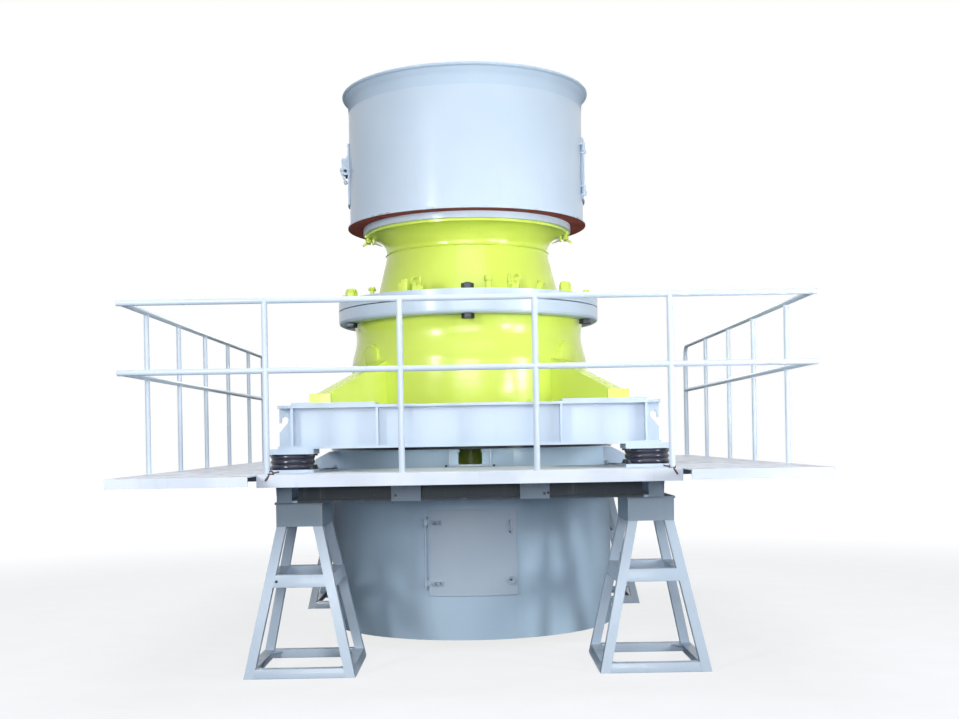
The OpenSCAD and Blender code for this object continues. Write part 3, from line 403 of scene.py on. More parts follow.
def keep(name, bm, finish, body="plant", smooth=35, replaced=()):
    bmesh.ops.remove_doubles(bm, verts=bm.verts, dist=1e-5)
    bmesh.ops.recalc_face_normals(bm, faces=bm.faces)
    piece = meshObject(name, bm, finish)
    piece.data.shade_smooth()
    piece.data.set_sharp_from_angle(angle=math.radians(smooth))
    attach(piece, body)
    if replaced:
        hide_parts(*replaced)


# studio: camera, floor, lamps and background
view = {"sensor": 36, "lens": 46.08, "shiftX": 0.0048, "shiftY": 0.0812, "far": 200, "roll": -0.0174,
        "place": (0.0352, -9.846, 1.5184)}
camera = bpy.data.cameras.new("camera")
camera.sensor_width, camera.lens, camera.clip_end = view["sensor"], view["lens"], view["far"]
camera.shift_x, camera.shift_y = view["shiftX"], view["shiftY"]
tripod = link("camera", camera)
tripod.matrix_world = Matrix.Translation(view["place"]) @ forwards @ Matrix.Rotation(view["roll"], 4, "Z")
bpy.context.scene.camera = tripod

studio = {
    "sky": 0.07, "skyColour": (0.93, 0.96, 1.0, 1), "floor": rgb(92, 96, 104), "floorPatch": rgb(112, 116, 124),
    "patchScale": 3.0, "near": 5.0, "far": 11.0, "nearGlow": (0.80, 0.80, 0.80, 1), "farGlow": (1, 1, 1, 1),
    "floorRadius": 45.0, "floorDrop": 0.001,
}
lamps = {  # place, aim, width, height, watts, spread in degrees
    "leftKey": ((-4.4, -7.4, 3.7), (0, 0, 2.4), 1.0, 2.0, 240, 180),
    "rightKey": ((6.4, -5.6, 2.6), (0, 0, 2.2), 1.2, 2.2, 260, 180),
    "front": ((-0.3, -12.5, 3.1), (0, 0, 1.7), 4.6, 2.6, 335, 180),
    "rightMouth": ((5.2, -7.2, 1.7), (0.5, 0, 2.70), 1.0, 1.2, 8, 36),
    "low": ((-0.3, -12.5, 1.9), (0, 0, 1.1), 6.0, 0.8, 110, 180),
    "high": ((0.6, -6.5, 7.8), (0, 0, 2.2), 5.0, 3.0, 140, 180),
    "ceiling": ((0, 0.5, 8.5), (0, 0, 1.5), 6.0, 5.0, 380, 180),
    "rearFill": ((0, 8.5, 5.0), (0, 0, 2.0), 5.0, 3.0, 160, 180),
}
for name, (place, aim, width, height, watts, spread) in lamps.items():
    light = bpy.data.lights.new(name, "AREA")
    light.shape = "RECTANGLE"
    light.size, light.size_y, light.energy, light.spread = width, height, watts, math.radians(spread)
    link(name, light).matrix_world = aimed(place, aim, "-Z")

sky = Finish("studioSky", "worlds")
bpy.context.scene.world = sky.owner
rays = ("Is Camera Ray", "Is Glossy Ray", "Is Transmission Ray")
sight, glossy, through = (sky.node("ShaderNodeLightPath", {}, ray) for ray in rays)
seen = sight.maths("MAXIMUM", sight, sight.maths("MAXIMUM", glossy, through))
dim = sky.node("ShaderNodeBackground", {"Color": studio["skyColour"], "Strength": studio["sky"]})
white = sky.node("ShaderNodeBackground", {"Color": (1, 1, 1, 1)})
sky.node("ShaderNodeOutputWorld", {"Surface": sky.node("ShaderNodeMixShader", {0: seen, 1: dim, 2: white})})

bm = bmesh.new()
bmesh.ops.create_circle(bm, cap_ends=True, segments=96, radius=studio["floorRadius"],
                        matrix=rise(cadBox[0][2] - studio["floorDrop"]))
f = Finish("studioFloorPaint")
spot = f.place()
away = f.node("ShaderNodeVectorMath", {0: spot}, 1, operation="LENGTH")
sight, through = (f.node("ShaderNodeLightPath", {}, ray) for ray in rays[::2])
paint = f.blend(f.noise(spot, studio["patchScale"]), studio["floor"], studio["floorPatch"])
glow = f.blend(away.spread(studio["near"], studio["far"]), studio["nearGlow"], studio["farGlow"])
floor = meshObject("studioFloor", bm, f.finish({
    "Base Color": paint, "Roughness": 0.95, "Specular IOR Level": 0.0, "Emission Strength": 1.0,
    "Emission Color": f.blend((sight + through).clamp(), (0, 0, 0, 1), glow)}))
print("studio set")


# main flange: bolts, caps, eyes and one valve, each at its own place
flange = {
    "circle": 0.975, "top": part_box("upper_flange_ring")[1][2], "under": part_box("lower_flange_ring")[0][2],
    "innerCircle": {"grease": 0.965, "screw": 0.920}, "head": 0.047, "nutHeight": 0.038, "soft": 0.004,
    "fittings": [  # kind, angle, width, height
        ("cap", -156.8, 0.096, 0.084), ("valve", -137, 0.030, 0.062), ("block", -118, 0.076, 0.088),
        ("eyes", -112, 0.097, 0.114), ("dark", -90, 0.094, 0.045), ("grease", -81, 0.062, 0.096),
        ("eyes", -70, 0.105, 0.119), ("screw", -55.4, 0.050, 0.072), ("cap", -41.5, 0.090, 0.078),
        ("low", -19.8, 0.094, 0.051), ("dark", 0, 0.094, 0.045), ("dark", 90, 0.094, 0.045),
        ("eyes", 45, 0.100, 0.116), ("eyes", 135, 0.100, 0.116), ("cap", 180, 0.090, 0.080),
        *[("bolt", angle, 0.094, 0.076) for angle in (22.5, 67.5, 112.5, 157.5)]],
    "darkNuts": (-157.5, -90, -22.5, 90),
    "washer": (0.009, 0.007),  # wider than the head, height
    "crown": {"cap": (0.9, 0.74), "bolt": (0.55, 0.5), "low": (0.55, 0.5)}, "crownHeight": 0.018,
    "eye": {"apart": 0.50, "outwards": 0.012, "base": 0.030, "nut": 0.034, "stem": 0.017, "stemDrop": 0.082,
            "loop": 0.026, "loopDrop": 0.072, "wire": 0.0105, "turn": 35},
    "block": {"deep": 0.075, "share": 0.70, "nut": (0.68, 0.75, 0.32)},  # nut: foot, radius and height as shares
    "darkEnd": (0.004, 0.5, 0.006),  # under the top, share of the radius, height
    "valveBar": (0.012, 0.060), "valveDrop": 0.020, "valveNut": 0.022, "valveNutDrop": 0.024,
    "greaseStem": (0.8, 0.6), "screwLean": -24, "screwUp": 0.004, "screwDrop": 0.010, "screwCap": (0.012, 1.2, 0.016),
}


def addFitting(green, dark, kind, angle, wide, tall):
    seat = turned(angle, flange["innerCircle"].get(kind, flange["circle"]), flange["top"])
    half, soft = wide / 2, flange["soft"]
    if kind == "dark":
        drop, share, high = flange["darkEnd"]
        addRound(dark, seat, half, tall - drop, 6, soft)
        addRound(dark, seat @ rise(tall - drop), half * share, high, 20)
    elif kind in flange["crown"]:
        wider, washer = flange["washer"]
        base, point = flange["crown"][kind]
        top = tall - flange["crownHeight"]
        addRound(green, seat, half + wider, washer, 28)
        addRound(green, seat, half, top, 6, soft)
        addRound(green, seat @ rise(top), half * base, flange["crownHeight"], 28, 0.005, half * point)
    elif kind == "block":
        body, (foot, radius, height) = flange["block"], flange["block"]["nut"]
        high = tall * body["share"]
        addBlock(green, seat @ rise(high / 2), (body["deep"], wide, high), 0.006)
        addRound(green, seat @ rise(tall * foot), half * radius, tall * height, 6, 0.003)
    elif kind == "eyes":  # nut, washer and two lifting eyes side by side
        eye = flange["eye"]
        addRound(green, seat, half * 0.94, eye["nut"], 6, soft)
        for side in (-1, 1):
            base = seat @ shift(side * eye["outwards"], side * half * eye["apart"], eye["base"])
            addRound(green, base, eye["stem"], tall - eye["stemDrop"], 16)
            loop = base @ rise(tall - eye["loopDrop"]) @ forwards @ tilted(side * eye["turn"], "Y")
            addRing(green, loop, eye["loop"], eye["wire"])
    elif kind == "valve":
        (radius, long), nut, stem = flange["valveBar"], flange["valveNut"], tall - flange["valveDrop"]
        addRound(green, seat, half, stem, 16)
        addRound(green, seat @ shift(-long / 2, 0, stem) @ outwards, radius, long, 16)
        addRound(green, seat @ rise(tall - flange["valveNutDrop"]), nut, nut, 6)
    elif kind == "grease":
        thin, stem = half * flange["greaseStem"][0], tall * flange["greaseStem"][1]
        addRound(green, seat, thin, stem, 20, 0.003)
        addRound(green, seat @ rise(stem), half, tall - stem, 20, 0.006)
    elif kind == "screw":
        drop, share, high = flange["screwCap"]
        lean = seat @ rise(flange["screwUp"]) @ tilted(flange["screwLean"], "X")
        addRound(green, lean, half, tall - flange["screwDrop"], 6, 0.003)
        addRound(green, lean @ rise(tall - drop), half * share, high, 20, 0.003)


def flangeFittings():
    green, dark = bmesh.new(), bmesh.new()
    for fitting in flange["fittings"]:
        addFitting(green, dark, *fitting)
    for angle in flange["darkNuts"]:
        seat = turned(angle, flange["circle"], flange["under"] - flange["nutHeight"])
        addRound(dark, seat, flange["head"], flange["nutHeight"], 6, flange["soft"])
    keep("flangeFittings", green, greenCast, replaced=["flange_bolts"])
    keep("flangeDarkBolts", dark, boltSteel)


flangeFittings()

# the two shells, turned with their fillets, beads and flared mouth
shell = {
    "low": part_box("upper_shell")[0][2], "waistZ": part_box("upper_shell")[1][2] - 0.010, "foot": 0.736, "waist": 0.644,
    "seat": 0.800, "seatZ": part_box("hopper_seat_ring")[0][2], "seatLip": 0.020, "seatEdge": 0.001, "throat": 0.608,
    "throatDrop": 0.020, "skirt": 0.790, "skirtWall": 0.045, "land": 2.528,
    "fillet": ((0.016, 0), (0.012, 0.006), (0.003, 0.012), (-0.004, 0.022)),  # out, up
    "bead": ((0.002, 0.017), (0.0057, 0.015), (0.0095, 0.009), (0.0057, 0.003), (0.0005, 0)),  # out, down
    "bulge": 0.10, "coneSteps": 13, "mouthSteps": 16, "steps": 160,
}


def upperCasting():
    bm = bmesh.new()
    waist, seatZ = shell["waistZ"], shell["seatZ"]
    foot, neck, seat, skirt, throat = (shell[key] for key in ("foot", "waist", "seat", "skirt", "throat"))
    profile = [(throat, seatZ), (throat, waist - shell["throatDrop"]), (skirt - shell["skirtWall"], shell["low"]),
               (skirt, shell["low"]), (skirt, shell["land"]), (foot, shell["land"])]
    profile += [(foot + out, flange["top"] + up) for out, up in shell["fillet"]]
    bead = [(neck + out, waist - down) for out, down in shell["bead"]]
    (startR, startZ), (endR, endZ) = profile[-1], bead[0]
    for i in range(1, shell["coneSteps"]):  # the cone draws in a little faster at first
        t = i / shell["coneSteps"]
        profile.append((startR + (endR - startR) * (t + shell["bulge"] * t * (1 - t)), startZ + (endZ - startZ) * t))
    profile += bead
    for i in range(1, shell["mouthSteps"] + 1):  # flared mouth, a quarter of an ellipse
        turn = math.radians(90 * i / shell["mouthSteps"])
        profile.append((neck + (seat - neck) * (1 - math.cos(turn)),
                        waist + (seatZ - shell["seatLip"] - waist) * math.sin(turn)))
    profile += [(seat, seatZ - shell["seatEdge"]), (seat - shell["seatEdge"], seatZ)]
    addLathe(bm, profile, shell["steps"])
    keep("upperCasting", bm, greenCast, smooth=40, replaced=["upper_shell", "upper_shell_mouth"])


# lower shell: wide round its foot, drawn in under the main flange, with two bosses
lower = {
    "bottom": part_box("lower_shell")[0][2], "top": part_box("lower_shell")[1][2], "bore": 0.800,
    "foot": ((0.927, 0), (0.935, 0.020), (0.935, 0.545), (0.9335, 0.575)),  # radius, height over the bottom
    "neck": 0.8930, "neckRise": 0.225, "neckSteps": 18,
    "collar": ((0.8935, 0.825), (0.8965, 0.850), (0.9005, 0.872), (0.9045, 0.893)), "topRadius": 0.9090,
    "bosses": (-143, -37), "bossZ": 2.132, "bossRoot": 0.865, "boss": (0.105, 0.072), "face": 0.937,
    "padRing": (0.088, 0.003), "pad": (0.070, 0.002),
}


def lowerCasting():
    bm = bmesh.new()
    low, high = lower["bottom"], lower["top"]
    outer = [(radius, low + z) for radius, z in lower["foot"]]
    wide, start = lower["foot"][-1]
    for i in range(1, lower["neckSteps"] + 1):  # a long soft curve up to the neck
        t = i / lower["neckSteps"]
        soft = t * t * (3 - 2 * t)
        outer.append((wide - (wide - lower["neck"]) * soft, low + start + lower["neckRise"] * t))
    outer += [(radius, low + z) for radius, z in lower["collar"]] + [(lower["topRadius"], high)]
    addLathe(bm, outer + [(lower["bore"], high), (lower["bore"], low)], shell["steps"])
    keep("lowerCasting", bm, greenCast, smooth=40, replaced=["lower_shell"])


def castingMarks():  # two round bosses under the neck, each with a machined pad
    bm = bmesh.new()
    for angle in lower["bosses"]:
        root = turned(angle, lower["bossRoot"], lower["bossZ"]) @ outwards
        face = turned(angle, lower["face"], lower["bossZ"]) @ outwards
        addRound(bm, root, *lower["boss"], 64, 0.004)
        addRing(bm, face, *lower["padRing"], 48, 8)
        addRound(bm, face, *lower["pad"], 48, 0.001)
    keep("castingMarks", bm, greenCast)


upperCasting()
lowerCasting()
castingMarks()

# clamps that hold the hopper's seat ring to the upper shell
clamp = {
    "angles": (-176.5, -3.5), "radius": 0.790, "under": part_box("hopper_seat_ring")[0][2], "soft": 0.004,
    "pin": (0.013, 0.058), "pinApart": 0.038, "nut": (0.024, 0.022), "nutDrop": 0.004,
    "bar": ((-0.01, 0, -0.012), (0.07, 0.13, 0.024)), "web": ((-0.042, 0, -0.035), (0.02, 0.05, 0.07)),
    "arm": ((0.012, 0.0, -0.062), (0.075, 0.022, 0.016)), "armLean": 28,
}


def hopperClamps():
    bm = bmesh.new()
    soft = clamp["soft"]
    for angle in clamp["angles"]:
        seat = turned(angle, clamp["radius"], clamp["under"])
        for side in (-1, 1):
            pin = seat @ shift(0, side * clamp["pinApart"], -clamp["pin"][1])
            addRound(bm, pin, *clamp["pin"], 16)
            addRound(bm, pin @ rise(-clamp["nutDrop"]), *clamp["nut"], 6, 0.003)
        for part in ("bar", "arm", "web"):
            place, size = clamp[part]
            lean = clamp["armLean"] if part == "arm" else 0
            addBlock(bm, seat @ shift(*place) @ tilted(lean, "Y"), size, soft)
    keep("hopperClamps", bm, greenCast)


hopperClamps()
print("crusher fittings made")

# curved doors of the hopper and the hatch of the chute
door = {
    "seat": 0.002, "gasketShadeWidth": 0.012, "hingeOut": 0.026, "knuckle": 0.014, "knuckleHigh": 0.050, "pinRoom": 0.0075,
    "strap": (0.010, 0.118, 0.036), "strapBolts": (0.055, 0.095), "boltHead": (0.010, 0.007), "edgeOff": 0.022,
    "rim": 0.004, "hem": 0.002, "sealShadeHalf": 0.005, "sealShadeEdge": 0.008, "sealShadeLap": 0.3, "strapGap": 0.008,
    "strapInset": 0.003, "web": (0.014, 0.085), "webOut": 0.009, "webIn": -0.003, "webAlong": 0.080,
}
doors = {  # body and node: wall radius, hinge angle, free angle, bottom, top, thickness, knuckle heights
    "hopper_door_left": (0.929, 155.0, 189.0, 3.374, 3.857, 0.009, (0.062, -0.092)),
    "hopper_door_right": (0.929, -15.0, 19.0, 3.374, 3.857, 0.009, (0.062, -0.092)),
    "chute_hatch": (1.100, 252.8, 287.2, 0.390, 1.005, 0.008, (0.090, -0.090)),
}


latch = {
    "blocks": [  # place over the seat, size, rounding: bracket, its web, cross lever and two cheeks
        ((0.006, 0, 0.172), (0.012, 0.052, 0.100), 0.002), ((0.030, 0, 0.165), (0.040, 0.010, 0.085), 0.003),
        ((0.034, 0, 0.116), (0.064, 0.030, 0.022), 0.004), ((0.020, -0.022, 0.100), (0.038, 0.008, 0.058), 0.003),
        ((0.020, 0.022, 0.100), (0.038, 0.008, 0.058), 0.003)],
    "pivot": (0.024, -0.034, 0.102), "pin": (0.008, 0.068), "pinHead": (0.014, 0.008), "pinReach": 0.060,
    "hand": (0.060, 0, 0.112), "handTurn": 202, "handBar": (0.012, 0.030, 0.105), "handBarUp": 0.050,
    "knob": (0.014, 0.030), "knobUp": 0.090,
    "screw": (0.004, 0, 0.062), "screwHead": (0.016, 0.018), "ring": (0.022, 0, 0.080), "ringSize": (0.016, 0.004),
    "out": 0.009, "up": 0.165, "fromEdge": 0.030,
}
grip = {
    "inset": 3, "knobOut": 0.004, "knobUp": 0.110, "knob": (0.028, 0.018), "ring": (0.026, 0.0065), "ringOut": 0.024,
    "nut": (0.008, 0.014), "nutOut": 0.016, "gripOut": 0.014, "gripDrop": 0.125, "posts": (-0.038, 0.038),
    "post": (0.007, 0.034), "barLow": (0.034, 0.006, -0.050), "barHigh": (0.038, -0.006, 0.050), "bar": 0.009,
}


def addArc(bm, points, start, stop, steps=24):  # closed outline of (radius, z) swept round the axis
    first = addOutline(bm, turned(start, 0, 0), points)
    last = bmesh.ops.spin(bm, geom=first, cent=(0, 0, 0), axis=(0, 0, 1), angle=math.radians(stop - start),
                          steps=steps, use_merge=False, use_duplicate=False)["geom_last"]
    ends = [item for item in first + last if isinstance(item, bmesh.types.BMEdge)]
    bmesh.ops.holes_fill(bm, edges=ends, sides=len(points))


def addHinge(bm, radius, hinge, way, thick, z):  # knuckle, strap with two bolts and the web under it
    tall, wide, pin, hem = (door[key] for key in ("knuckleHigh", "knuckle", "pinRoom", "hem"))
    axis = radius + door["hingeOut"]
    addLathe(bm, [(pin, 0), (wide - hem, 0), (wide, hem), (wide, tall - hem), (wide - hem, tall), (pin, tall)],
             24, turned(hinge, axis, z - tall / 2))
    deep, long, high = door["strap"]
    strap = turned(hinge, axis - deep / 2 - door["strapInset"], z)
    addBlock(bm, strap @ shift(0, way * (long / 2 + door["strapGap"]), 0), door["strap"], 0.002)
    for along in door["strapBolts"]:
        addRound(bm, strap @ shift(deep / 2, way * along, 0) @ outwards, *door["boltHead"], 6, 0.001)
    web = turned(hinge, radius + door["seat"] + thick + door["webOut"], z)
    addBlock(bm, web @ shift(door["webIn"], way * door["webAlong"], 0), (*door["web"], high - 0.006), 0.002)


def addDoor(bm, gasketAndShade, radius, hinge, free, low, high, thick, knuckles):
    way = 1 if free > hinge else -1
    start = hinge + math.degrees(door["edgeOff"] / radius) * way
    inner, outer = radius + door["seat"], radius + door["seat"] + thick
    rim, hem = door["rim"], door["hem"]
    folded = outer + rim
    addArc(bm, [(inner, low), (outer - hem, low), (outer, low + hem), (outer, high - hem), (outer - hem, high),
                (inner, high)], start, free, 32)
    for z in (low + rim, high - rim):  # folded edges that stiffen the leaf
        addArc(bm, [(outer, z - rim), (folded, z - rim), (folded, z + rim), (outer, z + rim)], start, free, 32)
    turn = math.degrees(rim / radius) * way
    for angle in (start, free - 2 * turn):
        addArc(bm, [(outer, low + 2 * rim), (folded, low + 2 * rim), (folded, high - 2 * rim),
                    (outer, high - 2 * rim)], angle, angle + 2 * turn, 2)
    lap = math.degrees(door["gasketShadeWidth"] / radius) * way * door["sealShadeLap"]
    back, front, half = radius + 0.0004, inner - 0.0002, door["sealShadeHalf"]  # clear of the wall and of the leaf
    # dark rubber strips under the top and bottom edges of the leaf: a gasket, whose dark edge in the gap also stands
    # in for the gap's shade
    for z in (low + door["sealShadeEdge"], high - door["sealShadeEdge"]):
        addArc(gasketAndShade, [(back, z - half), (front, z - half), (front, z + half), (back, z + half)],
               start + lap, free - lap)
    for z in (low + knuckles[0], high + knuckles[1]):
        addHinge(bm, radius, hinge, way, thick, z)


def addLatch(bm, dark, radius, angle, z):  # swing clamp: bracket, cross lever, handle that hangs, ring
    seat = turned(angle, radius + door["seat"] + latch["out"], z)
    for place, size, soft in latch["blocks"]:
        addBlock(bm, seat @ shift(*place), size, soft)
    pivot = seat @ shift(*latch["pivot"]) @ backwards
    addRound(dark, pivot, *latch["pin"], 16, 0.001)
    for reach in (0, latch["pinReach"]):
        addRound(dark, pivot @ rise(reach), *latch["pinHead"], 6, 0.001)
    hand = seat @ shift(*latch["hand"]) @ tilted(latch["handTurn"], "Y")
    addBlock(bm, hand @ rise(latch["handBarUp"]), latch["handBar"], 0.004)
    addRound(bm, hand @ rise(latch["knobUp"]), *latch["knob"], 16, 0.005)
    addRound(dark, seat @ shift(*latch["screw"]) @ outwards, *latch["screwHead"], 6)
    addRing(bm, seat @ shift(*latch["ring"]) @ forwards, *latch["ringSize"], 20, 8)


def addGrip(bm, dark, radius, free, low, high):  # round knob with a ring, and an upright bar handle
    angle = free - grip["inset"]
    knob = turned(angle, radius + grip["knobOut"], low + grip["knobUp"]) @ outwards
    addRound(bm, knob, *grip["knob"], 28, 0.003)
    addRing(bm, knob @ rise(grip["ringOut"]), *grip["ring"])
    addRound(dark, knob @ rise(grip["nutOut"]), *grip["nut"], 6)
    place = turned(angle, radius + grip["gripOut"], high - grip["gripDrop"])
    for z in grip["posts"]:
        addRound(dark, place @ rise(z) @ outwards, *grip["post"], 14, 0.001)
    addRod(bm, place @ Vector(grip["barLow"]), place @ Vector(grip["barHigh"]), grip["bar"])


def curvedDoors():
    for name, (radius, hinge, free, low, high, thick, knuckles) in doors.items():
        leaf, gasketAndShade, dark = bmesh.new(), bmesh.new(), bmesh.new()
        addDoor(leaf, gasketAndShade, radius, hinge, free, low, high, thick, knuckles)
        if name == "chute_hatch":
            addGrip(leaf, dark, radius, free, low, high)
        else:
            addLatch(leaf, dark, radius, free - math.degrees(latch["fromEdge"] / radius), low + latch["up"])
        keep(name + "_leaf", leaf, bluePlate, body=name, replaced=[name])
        keep(name + "_seal", gasketAndShade, blackRubber, body=name)
        keep(name + "_hardware", dark, boltSteel, body=name)


curvedDoors()
print("doors made")

# the hopper: flared lip, bottom bead and the weld up its rear
hopper = {
    "wall": 0.929, "bottom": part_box("hopper_wall_front")[0][2], "top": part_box("hopper_lip")[0][2],
    "flare": [(0.929, 0.0), (0.9295, 0.029), (0.932, 0.059), (0.9375, 0.0855), (0.9392, 0.0870), (0.948, 0.109),
              (0.9570, 0.1235)],  # radius, height over the foot of the lip
    "sheet": 0.008, "rim": (0.964, 0.138), "rimRadius": 0.012, "rimTurns": range(-75, 196, 18), "steps": 192,
    "bead": 0.0045, "beadUp": 0.003, "beadOut": 0.0005,
    "welds": 60, "weldEnd": 0.012, "weldRadius": 0.007, "weldShape": (0.6, 1.0, 1.5), "weldAngle": 90,
}


def hopperLip():  # flared lip with its rolled rim
    bm = bmesh.new()
    foot, flare, rim = hopper["top"], hopper["flare"], hopper["rimRadius"]
    profile = [(radius, foot + z) for radius, z in flare]
    middle = (hopper["rim"][0], foot + hopper["rim"][1])
    profile += [(middle[0] + rim * math.cos(math.radians(turn)), middle[1] + rim * math.sin(math.radians(turn)))
                for turn in hopper["rimTurns"]]
    profile += [(radius - hopper["sheet"], foot + z) for radius, z in reversed(flare[:-1])]
    addLathe(bm, profile, hopper["steps"])
    keep("hopperLip", bm, blueLip, smooth=40, replaced=["hopper_lip"])


def hopperTrim():
    bm = bmesh.new()
    bottom, end = hopper["bottom"], hopper["weldEnd"]
    addRing(bm, rise(bottom + hopper["beadUp"]), hopper["wall"] + hopper["beadOut"], hopper["bead"],
            hopper["steps"], 8)
    for i in range(hopper["welds"]):  # long weld up the rear of the drum, laid in short overlapping beads
        z = bottom + end + i * (hopper["top"] - bottom - 2 * end) / (hopper["welds"] - 1)
        bead = turned(hopper["weldAngle"], hopper["wall"] - 0.001, z) @ Matrix.Diagonal((*hopper["weldShape"], 1))
        bmesh.ops.create_icosphere(bm, subdivisions=2, radius=hopper["weldRadius"], matrix=bead)
    keep("hopperTrim", bm, bluePlate)


hopperLip()
hopperTrim()

# collar of the port in the front of the chute
port = {
    "half": 0.155, "bar": 0.020, "depth": 0.030, "front": 1.1325, "hole": 0.085, "sill": 0.010, "corner": 0.026,
    "gusset": 0.012, "low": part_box("deck_front_walkway")[1][2], "high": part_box("chute_wall_front")[1][2],
    "earDrop": 0.014, "ear": 0.010, "earReach": (0.004, 0.026), "gap": 0.004, "sillUp": 0.009, "sillHigh": 0.016,
    "studs": (-0.172, 0.168), "studFront": 0.025, "stud": (0.009, 0.016),
}


def portCollar():
    bm, dark = bmesh.new(), bmesh.new()
    low, high, front, bar, corner = (port[key] for key in ("low", "high", "front", "bar", "corner"))
    for side in (-1, 1):
        place = shift(side * (port["half"] - bar / 2), -front, (low + high) / 2)
        addBlock(bm, place, (bar, port["depth"], high - low - port["gap"]))
        # rounded gussets in the lower corners of the hole and rounded ears at its top
        middle = shift(side * (port["hole"] - corner), -front + port["gusset"], low + port["sill"] + corner)
        points = [(corner, -corner)] + [(corner * math.sin(turn), -corner * math.cos(turn)) for turn in quarter]
        addPlate(bm, [middle @ Vector((side * x, -port["gusset"] / 2, z)) for x, z in points], (0, port["gusset"], 0))
        ear = [(side * port["hole"], -front + reach, high - port["earDrop"]) for reach in port["earReach"]]
        addRod(bm, *ear, port["ear"])
    addBlock(bm, shift(0, -front, low + port["sillUp"]), (2 * (port["half"] - bar), port["depth"], port["sillHigh"]))
    for x in port["studs"]:  # two studs on the deck beside the collar
        addRound(dark, shift(x, -front - port["studFront"], low), *port["stud"], 6)
    keep("portCollar", bm, bluePlate)
    keep("portStuds", dark, boltSteel)


portCollar()
print("port made")

# isolators: bolts and nuts of the plates
isolator = {
    "reach": 0.134, "inset": 0.155, "topPlate": 0.033, "nut": (0.013, 0.013),
    "stack": [(0.019, 0.018, 0.004, 24, 0.001), (0.023, 0.013, 0.013, 6, 0.002), (0.036, 0.008, 0.010, 16, 0.002)],
}  # stack: height over the lower plate, radius, height, sides, rounding of the washer, nut and bolt end


def isolatorBolts():
    low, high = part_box("isolator_plates")
    bm = bmesh.new()
    plateX, plateY = high[0] - isolator["inset"], high[1] - isolator["inset"]
    reach, nut = isolator["reach"], isolator["nut"]
    for sx, sy, dx, dy in itertools.product((-1, 1), repeat=4):
        x, y = sx * plateX + dx * reach, sy * plateY + dy * reach
        for up, *part in isolator["stack"]:
            addRound(bm, shift(x, y, low[2] + up), *part)
        addRound(bm, shift(x, y, high[2] - isolator["topPlate"] - nut[1]), *nut, 6)
    keep("isolatorBolts", bm, boltSteel)


isolatorBolts()
print("isolators made")

# drive: bolts of the countershaft housing, hub and bolts of the pulley
drive = {
    "z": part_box("drive_pulley")[0][2] + 0.380, "flangeY": 0.9765, "hubY": 2.191, "hub": (0.0817, 0.008),
    "nut": (0.046, 0.020), "flangeBolts": (12, 0.168, 0, 0.011, 0.010), "hubBolts": (8, 0.066, 0.006, 0.010, 0.009),
}  # bolts: count, radius of the circle, stand-off, radius, height


def addBolts(bm, matrix, count, circle, out, radius, height):
    for i in range(count):
        addRound(bm, matrix @ (tilted(360 * i / count, "Z") @ shift(circle, 0, out)), radius, height, 6)


def driveFittings():
    bm = bmesh.new()
    addBolts(bm, shift(0, drive["flangeY"], drive["z"]) @ backwards, *drive["flangeBolts"])
    hub = shift(0, drive["hubY"], drive["z"]) @ backwards
    addRound(bm, hub, *drive["hub"], 48)
    addRound(bm, hub, *drive["nut"], 6, 0.003)
    addBolts(bm, hub, *drive["hubBolts"])
    keep("driveFittings", bm, boltSteel)


driveFittings()
print("drive made")

# railing: posts welded to the deck, and their top and middle rails
railing = {
    "front": (-1.238, -0.413, 0.413, 1.238), "left": (-1.770, -0.890, -0.010, 0.890, 1.860, 2.641),
    "right": (-1.700, -0.730, 0.160, 1.150), "rearRight": 2.199, "frontY": -2.350, "side": 2.113, "deck": 1.310,
    "postTop": 2.370, "frontRadius": 0.0190, "sideRadius": 0.0165, "endRadius": 0.021, "collar": 0.005, "bend": 0.100,
    "railRadius": 0.0180, "topZ": 2.375, "midZ": 1.947,
}


def railPosts():
    bm = bmesh.new()
    side, top, thin = railing["side"], railing["postTop"], railing["sideRadius"]
    places = [(x, railing["frontY"], railing["frontRadius"], top) for x in railing["front"]]
    places += [(-side, y, thin, top) for y in railing["left"]] + [(side, y, thin, top) for y in railing["right"]]
    places.append((side, railing["rearRight"], railing["endRadius"], railing["topZ"] - railing["bend"]))
    for x, y, radius, top in places:
        foot = shift(x, y, railing["deck"])
        addRound(bm, foot, radius, top - railing["deck"], 20, 0)
        addRound(bm, foot, radius + railing["collar"], railing["collar"], 20, 0.002, radius + 0.001)
    keep("railPosts", bm, blueRail, replaced=["railing_posts"])


def railTubes():  # the right top rail bends down at its rear end
    bm = bmesh.new()
    radius, side, front, bend = (railing[key] for key in ("railRadius", "side", "frontY", "bend"))
    for node, z in (("top_rails", railing["topZ"]), ("mid_rails", railing["midZ"])):
        low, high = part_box(node)
        rear = railing["rearRight"] - (bend if node == "top_rails" else 0)
        addRod(bm, (low[0], front, z), (high[0], front, z), radius, 24)
        addRod(bm, (-side, front, z), (-side, high[1], z), radius, 24)
        addRod(bm, (side, front, z), (side, rear, z), radius, 24)
    start = shift(side, railing["rearRight"] - bend, railing["topZ"])
    circle = addCircle(bm, start @ forwards, radius, 24)
    bmesh.ops.spin(bm, geom=circle, cent=start.translation - Vector((0, 0, bend)), axis=(1, 0, 0),
                   angle=-math.pi / 2, steps=12, use_merge=False, use_duplicate=False)
    bmesh.ops.holes_fill(bm, edges=[edge for edge in bm.edges if edge.is_boundary], sides=24)
    keep("railTubes", bm, blueRail, replaced=["top_rails", "mid_rails"])


railPosts()
railTubes()
print("posts made")

